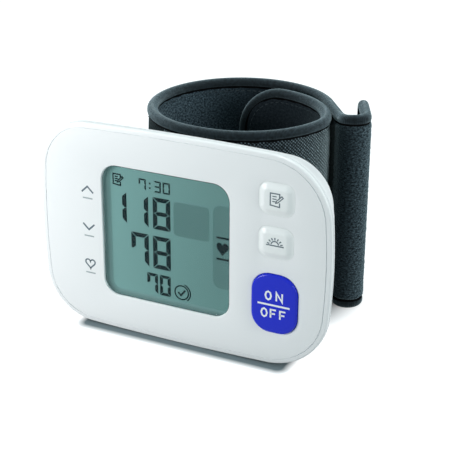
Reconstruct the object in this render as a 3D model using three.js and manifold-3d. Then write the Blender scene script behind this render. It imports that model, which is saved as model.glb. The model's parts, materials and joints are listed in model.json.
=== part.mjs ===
// Wrist blood pressure monitor: a slim housing on a curled cloth cuff, standing on its lower edge.
// Millimetres, +Z up, +X to the right, the face looks along -Y. The origin is the centre of the footprint.
import * as THREE from "three";
import { mergeVertices } from "three/addons/utils/BufferGeometryUtils.js";
import Module from "manifold-3d";

const wasm = await Module();
wasm.setup();

// Housing
const faceMargin = 11.5;
const cornerRadius = 14.6;
const sideBulge = 0.5;
const endBulge = 0.4;
const wall = 1.1;
const floorThickness = 1.4;
const coverThickness = 1.6;
const coverEdgeRound = 1.2;
const seamInset = 0.5;
const seamGap = 0.25;
const rimDepth = 2.5;
const rimBand = 0.8;
const backTaper = 4.6;
const batteryEndTaper = 0.6;
const backEdgeRound = 1.2;
const lipDepth = 1;
const lipThickness = 0.9;
const fit = 0.25;
const overlap = 0.3;

// Display window and display
const windowWidth = 40.4;
const windowHeight = 40.4;
const windowDrop = 0.2;
const windowOverBay = 3.26;
const windowRadius = 5;
const windowThickness = 1.2;
const windowSink = 0.25;
const glassThickness = 0.55;
const reflectorThickness = 0.15;
const layerGap = 0.1;
const glassInsetLeft = 1.9;
const glassMarginRight = 0.6;
const glassMarginEnds = 0.3;
const contactLedge = 1.9;
const holderWall = 0.7;
const holderBezel = 0.35;
const holderMargin = 0.5;
const bezelInsetLeft = 2.4;
const bezelInsetEnds = 0.7;
const connectorWidth = 1.3;
const connectorInset = 2;

// Buttons: a cap in the cover, a retaining flange under it, a stem and a switch plunger
const buttonProud = 0.7;
const buttonTravel = 0.5;
const buttonFlange = 0.8;
const flangeThickness = 0.7;
const stemRadius = 1.4;
const plungerRadius = 0.95;
const plungerLength = 0.9;
const plungerGap = 0.15;
const stemClear = 0.45;
const switchSize = 4.4;
const switchHeight = 0.9;
const buttonGap = 6.75;
const buttonMargin = 9;
const startWidth = 14.3;
const startHeight = 18.8;
const startRadius = 5.4;
const startDrop = 12.1;
const keyWidth = 10.4;
const keyHeight = 9.4;
const keyRadius = 2.8;
const memoryRise = 18.8;
const morningRise = 6.1;

// Circuit board, just behind the display
const boardSpace = 1.15;
const boardThickness = 1;
const boardMargin = 7.5;
const boardClear = 0.9;
const chipGap = 0.2;
const chipSpacing = 2.4;
const chipThickness = 1.2;
const processorSize = 9;
const memoryChipWidth = 5;
const memoryChipHeight = 6;
const crystalLength = 6.5;
const crystalWidth = 2.2;
const crystalThickness = 2;
const positionSensorSize = 3;
const capacitorRadius = 2.5;
const capacitorLength = 5;
const buzzerRadius = 5;
const buzzerHeight = 3.2;

// Battery bay at the left end: two AAA cells standing side by side
const cellRadius = 5.05;
const cellLength = 43.5;
const nubRadius = 1.9;
const nubLength = 1;
const cellGap = 0.15;
const cellInset = 3.2;
const cellFront = 2.97;
const bayWall = 0.8;
const bayMargin = 6.75;
const contactThickness = 0.4;
const contactWidth = 4.6;
const contactDepth = 5;
const contactSpace = 3.2;
const springWire = 0.6;
const springTurns = 2.5;
const springSmall = 1.7;
const springLarge = 2.6;
const doorLap = 0.7;
const doorLedge = 1.2;
const doorMargin = 1.45;
const gripRidges = 3;
const gripRidge = { width: 0.8, height: 12, rise: 0.4, pitch: 2 };

// Air system: pump and exhaust valve in the bottom strip, manifold above them
const pumpRise = 9.5;
const pumpClear = 1.3;
const motorRadius = 3.8;
const motorLength = 15;
const pumpGap = 0.4;
const pumpHeadLength = 14;
const chamberRadius = 3;
const chamberLength = 8.6;
const shaftRadius = 0.5;
const shaftHole = 0.8;
const shaftHoleDepth = 4;
const crankRadius = 2;
const crankThickness = 2;
const crankThrow = 1.2;
const crankPinLength = 2.5;
const valveClear = 0.8;
const valveLength = 11;
const valveRadius = 3.6;
const valveSeat = 2.4;
const valveBore = 1.4;
const valvePlungerRadius = 1.1;
const valvePlungerLength = 7.5;
const valvePort = 4;
const manifoldX = 3.5;
const manifoldWidth = 8;
const manifoldHeight = 7;
const manifoldClear = 1.3;
const tubeRun = 3.9;
const barbRadius = 0.9;
const barbLength = 1.5;
const tubeBore = 1.15;
const tubeRadius = 1.9;
const tubeBend = 4;
const nippleRadius = 1.5;
const nippleBore = 0.8;
const nippleReach = 2.8;
const sensorTubeRun = 4;
const sensorWidth = 7.5;
const sensorHeight = 7;
const sensorDepth = 4.7;

// Screws
const bossRadius = 1.9;
const bossLength = 7.4;
const postRadius = 2.2;
const screwHeadRadius = 1.6;
const screwHeadHeight = 1.3;
const screwShank = 0.8;
const screwBite = 4.5;

// Cuff: one band of cloth, rolled into a loop, with a rounded inner tongue and a peeled outer flap
const cuffWidth = 60.5;
const cuffThickness = 3.2;
const bindingHeight = 3;
const bindingEdge = 0.7;
const outerCloth = 0.6;
const curlerThickness = 0.5;
const bladderThickness = 0.6;
const innerCloth = 0.5;
const strapCloth = 1;
const hookThickness = 0.5;
const clothGap = 0.15;
const hingeGap = 0.3;
const tongueCorner = 10;
const flapCorner = 3;
const frontX = -3;
const frontFlat = 2.5;
const tongueLegs = [
  { radius: 26.5, sweep: 78 },
  { radius: 11, sweep: 28 },
  { radius: 24.3, sweep: 76 },
  { length: 11 },
];
const leftBend = { radius: 25, sweep: 90 };
const strapLegs = [
  { radius: 27.3, sweep: 72 },
  { radius: 26.5, sweep: 72.5 },
  { length: 17.7 },
  { radius: 3.3, sweep: 169, reverse: true },
  { length: 15.2 },
];
const curlerEnd = 8;
const bladderEnd = 30;
const bladderMargin = 4;
const hookLength = 24;
const saddleHalfLength = 14.5;
const saddleHeight = 46;
const saddleFloor = 1.2;
const pegRadius = 1.3;
const pegLength = 1.2;
const pegY = 17;

// Mesh fineness
const cornerSteps = 6;
const sideSteps = 4;
const roundSteps = 14;
const stepAngle = 10;
const stepLength = 5;
const cornerArcSteps = 4;
const edgeSteps = 3;
const filletSteps = 5;
const smallRoundSteps = 12;
const cellSides = 24;
const barbSides = 8;
const wireSides = 5;
const wireStepsPerTurn = 8;
const hoseSides = 8;
const hoseSteps = 11;
const stationGap = 0.2;
const weldTolerance = 1e-4;
const cutClear = 1;

// Width: battery bay, window, button column. Height: the taller of face and bay. Depth: the cells.
const bayWidth = cellInset + 4 * cellRadius + cellGap + fit;
const unitWidth = bayWidth - windowOverBay + windowWidth + buttonGap + startWidth + buttonMargin;
const bayEnd = cellLength / 2 + contactSpace;
const unitHeight = Math.max(windowHeight + 2 * faceMargin, 2 * (bayEnd + bayMargin));
const unitDepth = cellFront + 2 * cellRadius + fit / 2 + floorThickness;
const halfWidth = unitWidth / 2;
const halfHeight = unitHeight / 2;
const unitMiddle = unitHeight / 2;
const innerFloor = -(unitDepth - floorThickness);
const seam = -coverThickness;

// Left to right
const outerCellX = -halfWidth + cellInset + cellRadius;
const innerCellX = outerCellX + 2 * cellRadius + cellGap;
const bayRight = innerCellX + cellRadius + fit;
const doorHalf = cellLength / 2 + doorMargin + doorLedge;
const farLeft = -unitWidth;
const cellAxis = innerFloor + cellRadius + fit / 2;
const windowLeft = bayRight - windowOverBay;
const windowRight = windowLeft + windowWidth;
const windowBottom = -windowDrop - windowHeight / 2;
const windowTop = -windowDrop + windowHeight / 2;
const buttonX = windowRight + buttonGap + startWidth / 2;
const startCap = { width: startWidth, height: startHeight, radius: startRadius };
const keyCap = { width: keyWidth, height: keyHeight, radius: keyRadius };
const startButton = { x: buttonX, y: -startDrop, ...startCap };
const memoryButton = { x: buttonX, y: memoryRise, ...keyCap };
const morningButton = { x: buttonX, y: morningRise, ...keyCap };

// Face to back: the display's layers, then the board
const holderTop = seam - fit;
const glassTop = holderTop - holderBezel - layerGap;
const rearGlassTop = glassTop - glassThickness - layerGap;
const reflectorTop = rearGlassTop - glassThickness - layerGap;
const boardFront = reflectorTop - reflectorThickness - boardSpace;
const boardBack = boardFront - boardThickness;
const switchTop = boardFront + layerGap + switchHeight;
const stemLow = switchTop + buttonTravel + stemClear;
const plungerTop = stemLow - plungerGap;
const bayTop = boardFront - layerGap;
const screwSeat = -unitDepth + fit + screwHeadHeight + fit;
const farBack = -2 * unitDepth;
const glassLeft = windowLeft + glassInsetLeft;
const glassRight = windowRight + glassMarginRight;
const glassBottom = windowBottom - glassMarginEnds;
const glassUp = windowTop + glassMarginEnds;
const rearGlassUp = glassUp - contactLedge;
const holderRight = glassRight + layerGap + holderWall;
const holderBottom = glassBottom - layerGap - holderWall;
const holderUp = glassUp + layerGap + holderWall;

// Screws in the four corners round the display, pump and valve between them along the bottom
const screwLeft = bayRight + bayWall + fit + postRadius;
const screwRight = holderRight + fit + bossRadius;
const screwHigh = holderUp + fit + bossRadius;
const screwLow = holderBottom - fit - bossRadius;
const screwPlaces = [screwLeft, screwRight].flatMap((x) => [screwLow, screwHigh].map((y) => [x, y]));
const airLevel = innerFloor + motorRadius + fit;
const pumpY = -halfHeight + pumpRise;
const motorStart = screwLeft + postRadius + pumpClear;
const motorEnd = motorStart + motorLength;
const valveX = screwRight + postRadius + valveClear;
const valvePortX = valveX + valvePort;
const manifoldY = pumpY + motorRadius + tubeRun + manifoldHeight / 2;
const manifoldLeft = manifoldX - manifoldWidth / 2;
const manifoldRight = manifoldX + manifoldWidth / 2;
const manifoldBottom = manifoldY - manifoldHeight / 2;
const sensorRight = manifoldLeft - sensorTubeRun;
const boardLeft = screwLeft - postRadius;
const boardRight = halfWidth - boardMargin;
const boardBottom = pumpY + motorRadius + boardClear;
const boardTop = screwHigh - bossRadius - fit;
const crystalY = manifoldBottom + manifoldHeight + chipSpacing + crystalWidth / 2;
const processorX = manifoldRight + chipSpacing + processorSize / 2;
const processorY = crystalY + (crystalWidth + processorSize) / 2 + chipSpacing;
const memoryChipX = processorX - (processorSize + memoryChipWidth) / 2 - chipSpacing;
const positionSensorX = processorX + (processorSize + positionSensorSize) / 2 + chipSpacing;
const buzzerY = processorY + processorSize / 2 + chipSpacing;
const capacitorX = boardLeft + chipSpacing + capacitorRadius;

// Cuff, behind the housing
const clothHalf = (outerCloth + curlerThickness + bladderThickness + innerCloth + 3 * clothGap) / 2;
const frontY = unitDepth + seamGap + saddleFloor + fit + clothHalf;
const cuffMiddleX = frontX + frontFlat / 2;

// Colours and materials
const white = 0xe9eef2;
const shellWhite = 0xe2e7ec;
const milky = 0xd8d8d2;
const chipBlack = 0x1c1c1e;
const blue = 0x2a32c4;
const lcdTeal = 0x8fb5b2;
const steel = 0xc4c8cc;
const nickel = 0xd0d2d4;
const charcoal = 0x20262c;
const lining = 0x2a3138;
const tape = 0x181c21;
const silicone = 0xe0ddd2;

const plastic = (color) => new THREE.MeshStandardMaterial({ color, roughness: 0.45, metalness: 0 });
const metal = (color) => new THREE.MeshStandardMaterial({ color, roughness: 0.35, metalness: 1 });
const cloth = (color) => new THREE.MeshStandardMaterial({ color, roughness: 0.95, metalness: 0 });
const rubber = (color) => new THREE.MeshStandardMaterial({ color, roughness: 0.8, metalness: 0 });
const clear = (color) =>
  new THREE.MeshStandardMaterial({ color, roughness: 0.05, metalness: 0, transparent: true, opacity: 0.3 });

// Solids from geometry, and back
function solidOf(geometry) {
  const bare = new THREE.BufferGeometry();
  bare.setAttribute("position", geometry.getAttribute("position"));
  if (geometry.index) bare.setIndex(geometry.index);
  const merged = mergeVertices(bare, weldTolerance);
  return new wasm.Manifold(
    new wasm.Mesh({
      numProp: 3,
      vertProperties: merged.attributes.position.array,
      triVerts: new Uint32Array(merged.index.array),
    }),
  );
}

function geometryOf(solid) {
  const mesh = solid.getMesh();
  const geometry = new THREE.BufferGeometry();
  geometry.setAttribute("position", new THREE.BufferAttribute(mesh.vertProperties, 3));
  geometry.setIndex(new THREE.BufferAttribute(mesh.triVerts, 1));
  return geometry;
}

function combine(how, first, rest) {
  const solids = rest.map(solidOf);
  return geometryOf(solids.reduce((sum, solid) => sum[how](solid), solidOf(first)));
}

const join = (first, ...rest) => combine("add", first, rest);
const cut = (first, ...rest) => combine("subtract", first, rest);
const common = (first, ...rest) => combine("intersect", first, rest);

// A closed skin through rings of equal length, capped at both ends
function loft(rings) {
  const count = rings[0].length;
  const points = rings.flat();
  const faces = [];
  for (let r = 0; r + 1 < rings.length; r += 1) {
    for (let i = 0; i < count; i += 1) {
      const a = r * count + i;
      const b = r * count + ((i + 1) % count);
      faces.push(a, b, b + count, a, b + count, a + count);
    }
  }
  const last = (rings.length - 1) * count;
  for (const [base, flip] of [[0, true], [last, false]]) {
    const centre = new THREE.Vector3();
    for (let i = 0; i < count; i += 1) centre.addScaledVector(points[base + i], 1 / count);
    const hub = points.push(centre) - 1;
    for (let i = 0; i < count; i += 1) {
      const a = base + i;
      const b = base + ((i + 1) % count);
      faces.push(hub, flip ? b : a, flip ? a : b);
    }
  }
  return outward(points, faces);
}

// Turns the faces round where the rings were wound the other way
function outward(points, faces) {
  let volume = 0;
  for (let i = 0; i < faces.length; i += 3) {
    const [a, b, c] = [points[faces[i]], points[faces[i + 1]], points[faces[i + 2]]];
    volume += a.dot(new THREE.Vector3().crossVectors(b, c));
  }
  const geometry = new THREE.BufferGeometry().setFromPoints(points);
  geometry.setIndex(volume < 0 ? faces.reverse() : faces);
  return geometry;
}

function roundedShape({ x, y, width, height, radius }, grow = 0) {
  const w = width / 2 + grow;
  const h = height / 2 + grow;
  const r = radius + grow;
  const shape = new THREE.Shape();
  shape.absarc(x + w - r, y - h + r, r, -Math.PI / 2, 0);
  shape.absarc(x + w - r, y + h - r, r, 0, Math.PI / 2);
  shape.absarc(x - w + r, y + h - r, r, Math.PI / 2, Math.PI);
  shape.absarc(x - w + r, y - h + r, r, Math.PI, 1.5 * Math.PI);
  return shape;
}

function extrude(shape, from, to) {
  const settings = { depth: to - from, bevelEnabled: false, curveSegments: filletSteps, steps: 1 };
  return new THREE.ExtrudeGeometry(shape, settings).translate(0, 0, from);
}

function box(x0, x1, y0, y1, z0, z1) {
  const geometry = new THREE.BoxGeometry(x1 - x0, y1 - y0, z1 - z0);
  return geometry.translate((x0 + x1) / 2, (y0 + y1) / 2, (z0 + z1) / 2);
}

// A turned piece: pairs of [distance along the axis, radius], closed back to its start
function turned(profile, direction, origin, segments = roundSteps) {
  const points = profile.map(([along, radius]) => new THREE.Vector2(radius, along));
  const geometry = new THREE.LatheGeometry(points, segments);
  geometry.applyQuaternion(new THREE.Quaternion().setFromUnitVectors(new THREE.Vector3(0, 1, 0), direction));
  return geometry.translate(origin.x, origin.y, origin.z);
}

const axisX = new THREE.Vector3(1, 0, 0);
const axisY = new THREE.Vector3(0, 1, 0);
const axisZ = new THREE.Vector3(0, 0, 1);

function rod(radius, from, to, direction, origin, segments = roundSteps) {
  return turned([[from, 0], [from, radius], [to, radius], [to, 0]], direction, origin, segments);
}

const at = (x, y, z) => new THREE.Vector3(x, y, z);

// Housing shells. In the housing's own frame X is right, Y is up and Z points out of the face, at Z = 0.
const even = (inset) => ({ left: inset, right: inset, top: inset, bottom: inset });

function outlineRing({ left, right, top, bottom }, level) {
  const x0 = -halfWidth + left + sideBulge;
  const x1 = halfWidth - right - sideBulge;
  const y0 = -halfHeight + bottom + endBulge;
  const y1 = halfHeight - top - endBulge;
  const corners = [
    { x: x1, y: y0, sx: -1, sy: 1, start: -90, inset: Math.max(right, bottom), bulge: sideBulge },
    { x: x1, y: y1, sx: -1, sy: -1, start: 0, inset: Math.max(right, top), bulge: endBulge },
    { x: x0, y: y1, sx: 1, sy: -1, start: 90, inset: Math.max(left, top), bulge: sideBulge },
    { x: x0, y: y0, sx: 1, sy: 1, start: 180, inset: Math.max(left, bottom), bulge: endBulge },
  ];
  const onCorner = ({ x, y, sx, sy, start, inset }, share) => {
    const radius = cornerRadius - inset;
    const angle = THREE.MathUtils.degToRad(start + 90 * share);
    return at(x + radius * (sx + Math.cos(angle)), y + radius * (sy + Math.sin(angle)), level);
  };
  return corners.flatMap((corner, index) => {
    const next = corners[(index + 1) % corners.length];
    const ring = [];
    for (let i = 0; i <= cornerSteps; i += 1) ring.push(onCorner(corner, i / cornerSteps));
    const from = ring[cornerSteps];
    const to = onCorner(next, 0);
    const along = to.clone().sub(from).normalize();
    const out = at(along.y, -along.x, 0);
    for (let i = 1; i < sideSteps; i += 1) {
      const share = i / sideSteps;
      const swell = corner.bulge * (1 - (2 * share - 1) ** 2);
      ring.push(from.clone().lerp(to, share).addScaledVector(out, swell));
    }
    return ring;
  });
}

// Shares of a quarter round: how far across and how far down it is at each step
const quarterRound = Array.from({ length: edgeSteps + 1 }, (_, i) => {
  const angle = (Math.PI / 2) * (i / edgeSteps);
  return { across: Math.sin(angle), down: 1 - Math.cos(angle) };
});

function buttonHoles() {
  return [startButton, memoryButton, morningButton].map((button) =>
    extrude(roundedShape(button, fit), seam - cutClear, cutClear),
  );
}

const windowShape = {
  x: (windowLeft + windowRight) / 2,
  y: -windowDrop,
  width: windowWidth,
  height: windowHeight,
  radius: windowRadius,
};

function frontCover() {
  const plate = loft(
    quarterRound.map(({ across, down }) =>
      outlineRing(even(seamInset + coverEdgeRound * (1 - across)), seam * down),
    ),
  );
  const lipInset = seamInset + wall + fit;
  const lipEnd = seam - lipDepth;
  const lip = cut(
    loft([outlineRing(even(lipInset), lipEnd), outlineRing(even(lipInset), seam + overlap)]),
    loft([
      outlineRing(even(lipInset + lipThickness), lipEnd - cutClear),
      outlineRing(even(lipInset + lipThickness), seam + overlap + cutClear),
    ]),
  );
  const bossEnd = seam - bossLength;
  const bosses = screwPlaces.map(([x, y]) => rod(bossRadius, bossEnd, seam + overlap, axisZ, at(x, y, 0)));
  const pilots = screwPlaces.map(([x, y]) =>
    rod(screwShank + fit / 2, bossEnd - cutClear, bossEnd + screwBite + fit, axisZ, at(x, y, 0)),
  );
  const view = extrude(roundedShape(windowShape), seam - cutClear, cutClear);
  return cut(join(plate, lip, ...bosses), view, ...pilots, ...buttonHoles());
}

// The rear shell's outer form: a rim, then sides that draw in towards a flat back, less so at the battery end
const rearInset = (inset, leftInset) => ({ left: leftInset, right: inset, top: inset, bottom: inset });
const taperEnd = -(unitDepth - backEdgeRound);
const taperStart = -(rimDepth + rimBand);

function rearOuter() {
  const rings = [
    outlineRing(even(seamInset), seam - seamGap),
    outlineRing(even(0), -rimDepth),
    outlineRing(even(0), taperStart),
  ];
  for (const { across, down } of quarterRound) {
    const grow = backEdgeRound * down;
    const level = taperEnd - backEdgeRound * across;
    rings.push(outlineRing(rearInset(backTaper + grow, batteryEndTaper + grow), level));
  }
  return loft(rings);
}

function rearInner() {
  const share = (innerFloor - taperStart) / (taperEnd - taperStart);
  return loft([
    outlineRing(even(seamInset + wall), seam + cutClear),
    outlineRing(even(seamInset + wall), seam - seamGap),
    outlineRing(even(wall), -rimDepth),
    outlineRing(even(wall), taperStart),
    outlineRing(rearInset(backTaper * share + wall, batteryEndTaper * share + wall), innerFloor),
  ]);
}

// The two steps of the battery opening, or of its door when shrunk by a clearance
function doorBlocks(shrink, innerTop) {
  const lapTop = -unitDepth + doorLap - shrink;
  const half = doorHalf - shrink;
  const right = bayRight - shrink;
  return [
    box(farLeft, right, -half, half, farBack, lapTop),
    box(farLeft, right, -half + doorLedge, half - doorLedge, farBack, innerTop),
  ];
}

function rearCover() {
  const outer = rearOuter();
  const bayRightWall = box(bayRight, bayRight + bayWall, -bayEnd, bayEnd, innerFloor - overlap, bayTop);
  const bayEnds = [-1, 1].map((end) => {
    const y0 = Math.min(end * bayEnd, end * (bayEnd + bayWall));
    return box(farLeft, bayRight + bayWall, y0, y0 + bayWall, innerFloor - overlap, bayTop);
  });
  const postTop = seam - bossLength - fit;
  const postLow = innerFloor - overlap;
  const posts = screwPlaces.map(([x, y]) => rod(postRadius, postLow, postTop, axisZ, at(x, y, 0)));
  const shell = cut(outer, rearInner());
  const ribs = common(outer, join(bayRightWall, ...bayEnds, ...posts));
  const shafts = screwPlaces.map(([x, y]) => rod(screwShank + fit, farBack, seam, axisZ, at(x, y, 0)));
  const heads = screwPlaces.map(([x, y]) =>
    rod(screwHeadRadius + fit, farBack, screwSeat + fit, axisZ, at(x, y, 0)),
  );
  const pegHoles = [-1, 1].map((end) =>
    rod(pegRadius + fit, farBack, innerFloor + cutClear, axisZ, at(cuffMiddleX, end * pegY, 0)),
  );
  const airPlace = at(manifoldX, manifoldY, 0);
  const airHole = rod(nippleRadius + fit, farBack, innerFloor + cutClear, axisZ, airPlace);
  const opening = doorBlocks(0, innerFloor + fit);
  const cellEnd = cellLength / 2 + fit;
  const cellRooms = [outerCellX, innerCellX].map((x) =>
    rod(cellRadius + fit / 2, -cellEnd, cellEnd, axisY, at(x, 0, cellAxis), cellSides),
  );
  return cut(join(shell, ribs), ...opening, ...cellRooms, ...shafts, ...heads, ...pegHoles, airHole);
}

function batteryCover() {
  const plate = common(rearOuter(), join(...doorBlocks(fit, innerFloor - fit / 2)));
  const middle = (outerCellX + innerCellX) / 2;
  const ridges = Array.from({ length: gripRidges }, (_, i) => {
    const x = middle + (i - (gripRidges - 1) / 2) * gripRidge.pitch;
    const half = gripRidge.height / 2;
    const back = -unitDepth - gripRidge.rise;
    return box(x - gripRidge.width / 2, x + gripRidge.width / 2, -half, half, back, -unitDepth + overlap);
  });
  return join(plate, ...ridges);
}

function housingScrew([x, y]) {
  const tip = seam - bossLength + screwBite;
  const profile = [
    [screwSeat - screwHeadHeight, 0],
    [screwSeat - screwHeadHeight, screwHeadRadius],
    [screwSeat, screwHeadRadius],
    [screwSeat, screwShank],
    [tip, screwShank],
    [tip, 0],
  ];
  return turned(profile, axisZ, at(x, y, 0), smallRoundSteps);
}

// Display
function displayWindow() {
  return extrude(roundedShape(windowShape, -fit), -windowSink - windowThickness, -windowSink);
}

function glassPlate(top, up, thickness) {
  return box(glassLeft, glassRight, glassBottom, up, top - thickness, top);
}

// A frame round the glass with a bezel over its edge; its left wall stays short of the nearer battery cell
function lcdHolder() {
  const left = windowLeft - holderMargin;
  const low = boardFront + fit;
  const pocketLeft = glassLeft - layerGap;
  const frame = box(left, holderRight, holderBottom, holderUp, low, holderTop);
  const pocket = box(
    pocketLeft,
    glassRight + layerGap,
    glassBottom - layerGap,
    glassUp + layerGap,
    low - cutClear,
    holderTop - holderBezel,
  );
  const view = box(
    windowLeft + bezelInsetLeft,
    windowRight,
    windowBottom + bezelInsetEnds,
    windowTop - bezelInsetEnds,
    low - cutClear,
    holderTop + cutClear,
  );
  const wallLeft = pocketLeft - holderWall;
  const besideCell = box(farLeft, wallLeft, -unitHeight, unitHeight, low - cutClear, glassTop);
  const cellSide = rod(cellRadius + fit, -unitHeight, unitHeight, axisY, at(innerCellX, 0, cellAxis));
  return cut(frame, pocket, view, besideCell, cellSide);
}

function connectorStrip() {
  const y = (rearGlassUp + glassUp) / 2;
  const half = connectorWidth / 2;
  const top = glassTop - glassThickness - layerGap;
  const left = glassLeft + connectorInset;
  const right = glassRight - connectorInset;
  return box(left, right, y - half, y + half, boardFront + layerGap, top);
}

// Buttons
function buttonCap(button) {
  const flangeTop = seam - fit;
  const flangeLow = flangeTop - flangeThickness;
  const cap = extrude(roundedShape(button), flangeTop - overlap, buttonProud);
  const flange = extrude(roundedShape(button, buttonFlange), flangeLow, flangeTop);
  const place = at(button.x, button.y, 0);
  const stem = rod(stemRadius, stemLow, flangeLow + overlap, axisZ, place, smallRoundSteps);
  return join(cap, flange, stem);
}

function switchPlunger({ x, y }) {
  return rod(plungerRadius, plungerTop - plungerLength, plungerTop, axisZ, at(x, y, 0), smallRoundSteps);
}

function switchBody({ x, y }) {
  const half = switchSize / 2;
  const low = boardFront + layerGap;
  const body = box(x - half, x + half, y - half, y + half, low, switchTop);
  const radius = plungerRadius + fit;
  return cut(body, rod(radius, low - cutClear, switchTop + cutClear, axisZ, at(x, y, 0), smallRoundSteps));
}

// Board and what sits on its back
function chip(x, y, width, height, depth) {
  const top = boardBack - chipGap;
  return box(x - width / 2, x + width / 2, y - height / 2, y + height / 2, top - depth, top);
}

function boardRod(x, y, radius, depth) {
  const top = boardBack - chipGap;
  return rod(radius, top - depth, top, axisZ, at(x, y, 0));
}

function barb(direction, x, y) {
  return rod(barbRadius, -overlap, barbLength, direction, at(x, y, airLevel), barbSides);
}

function pressureSensor() {
  const body = chip(sensorRight - sensorWidth / 2, manifoldY, sensorWidth, sensorHeight, sensorDepth);
  return join(body, barb(axisX, sensorRight, manifoldY));
}

// Battery bay contents; end is +1 where the cell's plus end points up
function batteryCell(x, end) {
  const half = cellLength / 2;
  const profile = [
    [-half, 0],
    [-half, cellRadius],
    [half, cellRadius],
    [half, nubRadius],
    [half + nubLength, nubRadius],
    [half + nubLength, 0],
  ];
  return turned(profile, at(0, end, 0), at(x, 0, cellAxis), cellSides);
}

function batteryContact(x, end) {
  const half = contactWidth / 2;
  const deep = contactDepth / 2;
  const outer = bayEnd - fit;
  const inner = outer - contactThickness;
  const y0 = Math.min(end * outer, end * inner);
  const plate = box(x - half, x + half, y0, y0 + contactThickness, cellAxis - deep, cellAxis + deep);
  const bumpFrom = cellLength / 2 + nubLength + fit;
  const bumpTo = inner + contactThickness / 2;
  const place = at(x, 0, cellAxis);
  return join(plate, rod(nubRadius, bumpFrom, bumpTo, at(0, end, 0), place, smallRoundSteps));
}

class ConicalHelix extends THREE.Curve {
  constructor(x, end) {
    super();
    this.x = x;
    this.end = end;
    this.from = cellLength / 2 + fit + springWire / 2;
    this.to = bayEnd - fit - springWire / 2;
  }

  getPoint(share, target = new THREE.Vector3()) {
    const angle = 2 * Math.PI * springTurns * share;
    const radius = springSmall + (springLarge - springSmall) * share;
    const along = this.from + (this.to - this.from) * share;
    return target.set(
      this.x + radius * Math.cos(angle),
      this.end * along,
      cellAxis + radius * Math.sin(angle),
    );
  }
}

function alongCurve(curve, shape, steps, curveSegments) {
  return new THREE.ExtrudeGeometry(shape, { extrudePath: curve, steps, curveSegments, bevelEnabled: false });
}

function polygon(radius, sides) {
  return Array.from({ length: sides }, (_, i) => {
    const angle = (2 * Math.PI * i) / sides;
    return new THREE.Vector2(radius * Math.cos(angle), radius * Math.sin(angle));
  });
}

function batterySpring(x, end) {
  const section = new THREE.Shape(polygon(springWire / 2, wireSides));
  return alongCurve(new ConicalHelix(x, end), section, Math.round(springTurns * wireStepsPerTurn), 1);
}

// Air system
const pumpAxis = at(0, pumpY, airLevel);

function pumpMotor() {
  const profile = [
    [motorStart, 0],
    [motorStart, motorRadius],
    [motorEnd, motorRadius],
    [motorEnd, shaftHole],
    [motorEnd - shaftHoleDepth, shaftHole],
    [motorEnd - shaftHoleDepth, 0],
  ];
  return turned(profile, axisX, pumpAxis);
}

function pumpHead() {
  const x0 = motorEnd + pumpGap;
  const half = motorRadius;
  const block = box(x0, x0 + pumpHeadLength, pumpY - half, pumpY + half, airLevel - half, airLevel + half);
  const chamber = rod(chamberRadius, x0 - cutClear, x0 + chamberLength, axisX, pumpAxis);
  return cut(join(block, barb(axisY, manifoldX, pumpY + half)), chamber);
}

function pumpCrank() {
  const discFrom = motorEnd + pumpGap + crankThickness;
  const discTo = discFrom + crankThickness;
  const profile = [
    [motorEnd - shaftHoleDepth + fit, 0],
    [motorEnd - shaftHoleDepth + fit, shaftRadius],
    [discFrom, shaftRadius],
    [discFrom, crankRadius],
    [discTo, crankRadius],
    [discTo, 0],
  ];
  const pin = rod(
    shaftRadius,
    discTo - overlap,
    discTo + crankPinLength,
    axisX,
    at(0, pumpY + crankThrow, airLevel),
    smallRoundSteps,
  );
  return join(turned(profile, axisX, pumpAxis, smallRoundSteps), pin);
}

function exhaustValve() {
  const end = valveX + valveLength;
  const profile = [
    [valveX, 0],
    [valveX, valveRadius],
    [end, valveRadius],
    [end, valveBore],
    [valveX + valveSeat, valveBore],
    [valveX + valveSeat, 0],
  ];
  return join(turned(profile, axisX, pumpAxis), barb(axisY, valvePortX, pumpY + valveRadius));
}

function valvePlunger() {
  const from = valveX + valveSeat + fit;
  return rod(valvePlungerRadius, from, from + valvePlungerLength, axisX, pumpAxis, smallRoundSteps);
}

function airManifold() {
  const low = innerFloor + fit;
  const front = boardBack - manifoldClear;
  const top = manifoldBottom + manifoldHeight;
  const block = box(manifoldLeft, manifoldRight, manifoldBottom, top, low, front);
  const place = at(manifoldX, manifoldY, 0);
  const socketTop = low + nippleReach;
  const socket = rod(nippleRadius + fit, low - cutClear, socketTop, axisZ, place, smallRoundSteps);
  const barbs = [
    barb(at(-1, 0, 0), manifoldLeft, manifoldY),
    barb(axisX, manifoldRight, manifoldY),
    barb(at(0, -1, 0), manifoldX, manifoldBottom),
  ];
  return cut(join(block, ...barbs), socket);
}

function hoseSection() {
  const section = new THREE.Shape(polygon(tubeRadius, hoseSides));
  section.holes.push(new THREE.Path(polygon(tubeBore, hoseSides).reverse()));
  return section;
}

function straightHose(from, to) {
  return alongCurve(new THREE.LineCurve3(from, to), hoseSection(), 1, 1);
}

function pumpTube() {
  const from = at(manifoldX, pumpY + motorRadius + fit, airLevel);
  return straightHose(from, at(manifoldX, manifoldBottom - fit, airLevel));
}

function sensorTube() {
  const from = at(sensorRight + fit, manifoldY, airLevel);
  return straightHose(from, at(manifoldLeft - fit, manifoldY, airLevel));
}

function valveTube() {
  const start = at(manifoldRight + fit, manifoldY, airLevel);
  const end = at(valvePortX, pumpY + valveRadius + fit, airLevel);
  const bendStart = at(valvePortX - tubeBend, manifoldY, airLevel);
  const corner = at(valvePortX, manifoldY, airLevel);
  const bendEnd = at(valvePortX, manifoldY - tubeBend, airLevel);
  const route = new THREE.CurvePath();
  route.add(new THREE.LineCurve3(start, bendStart));
  route.add(new THREE.QuadraticBezierCurve3(bendStart, corner, bendEnd));
  route.add(new THREE.LineCurve3(bendEnd, end));
  return alongCurve(route, hoseSection(), hoseSteps, 1);
}

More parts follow.
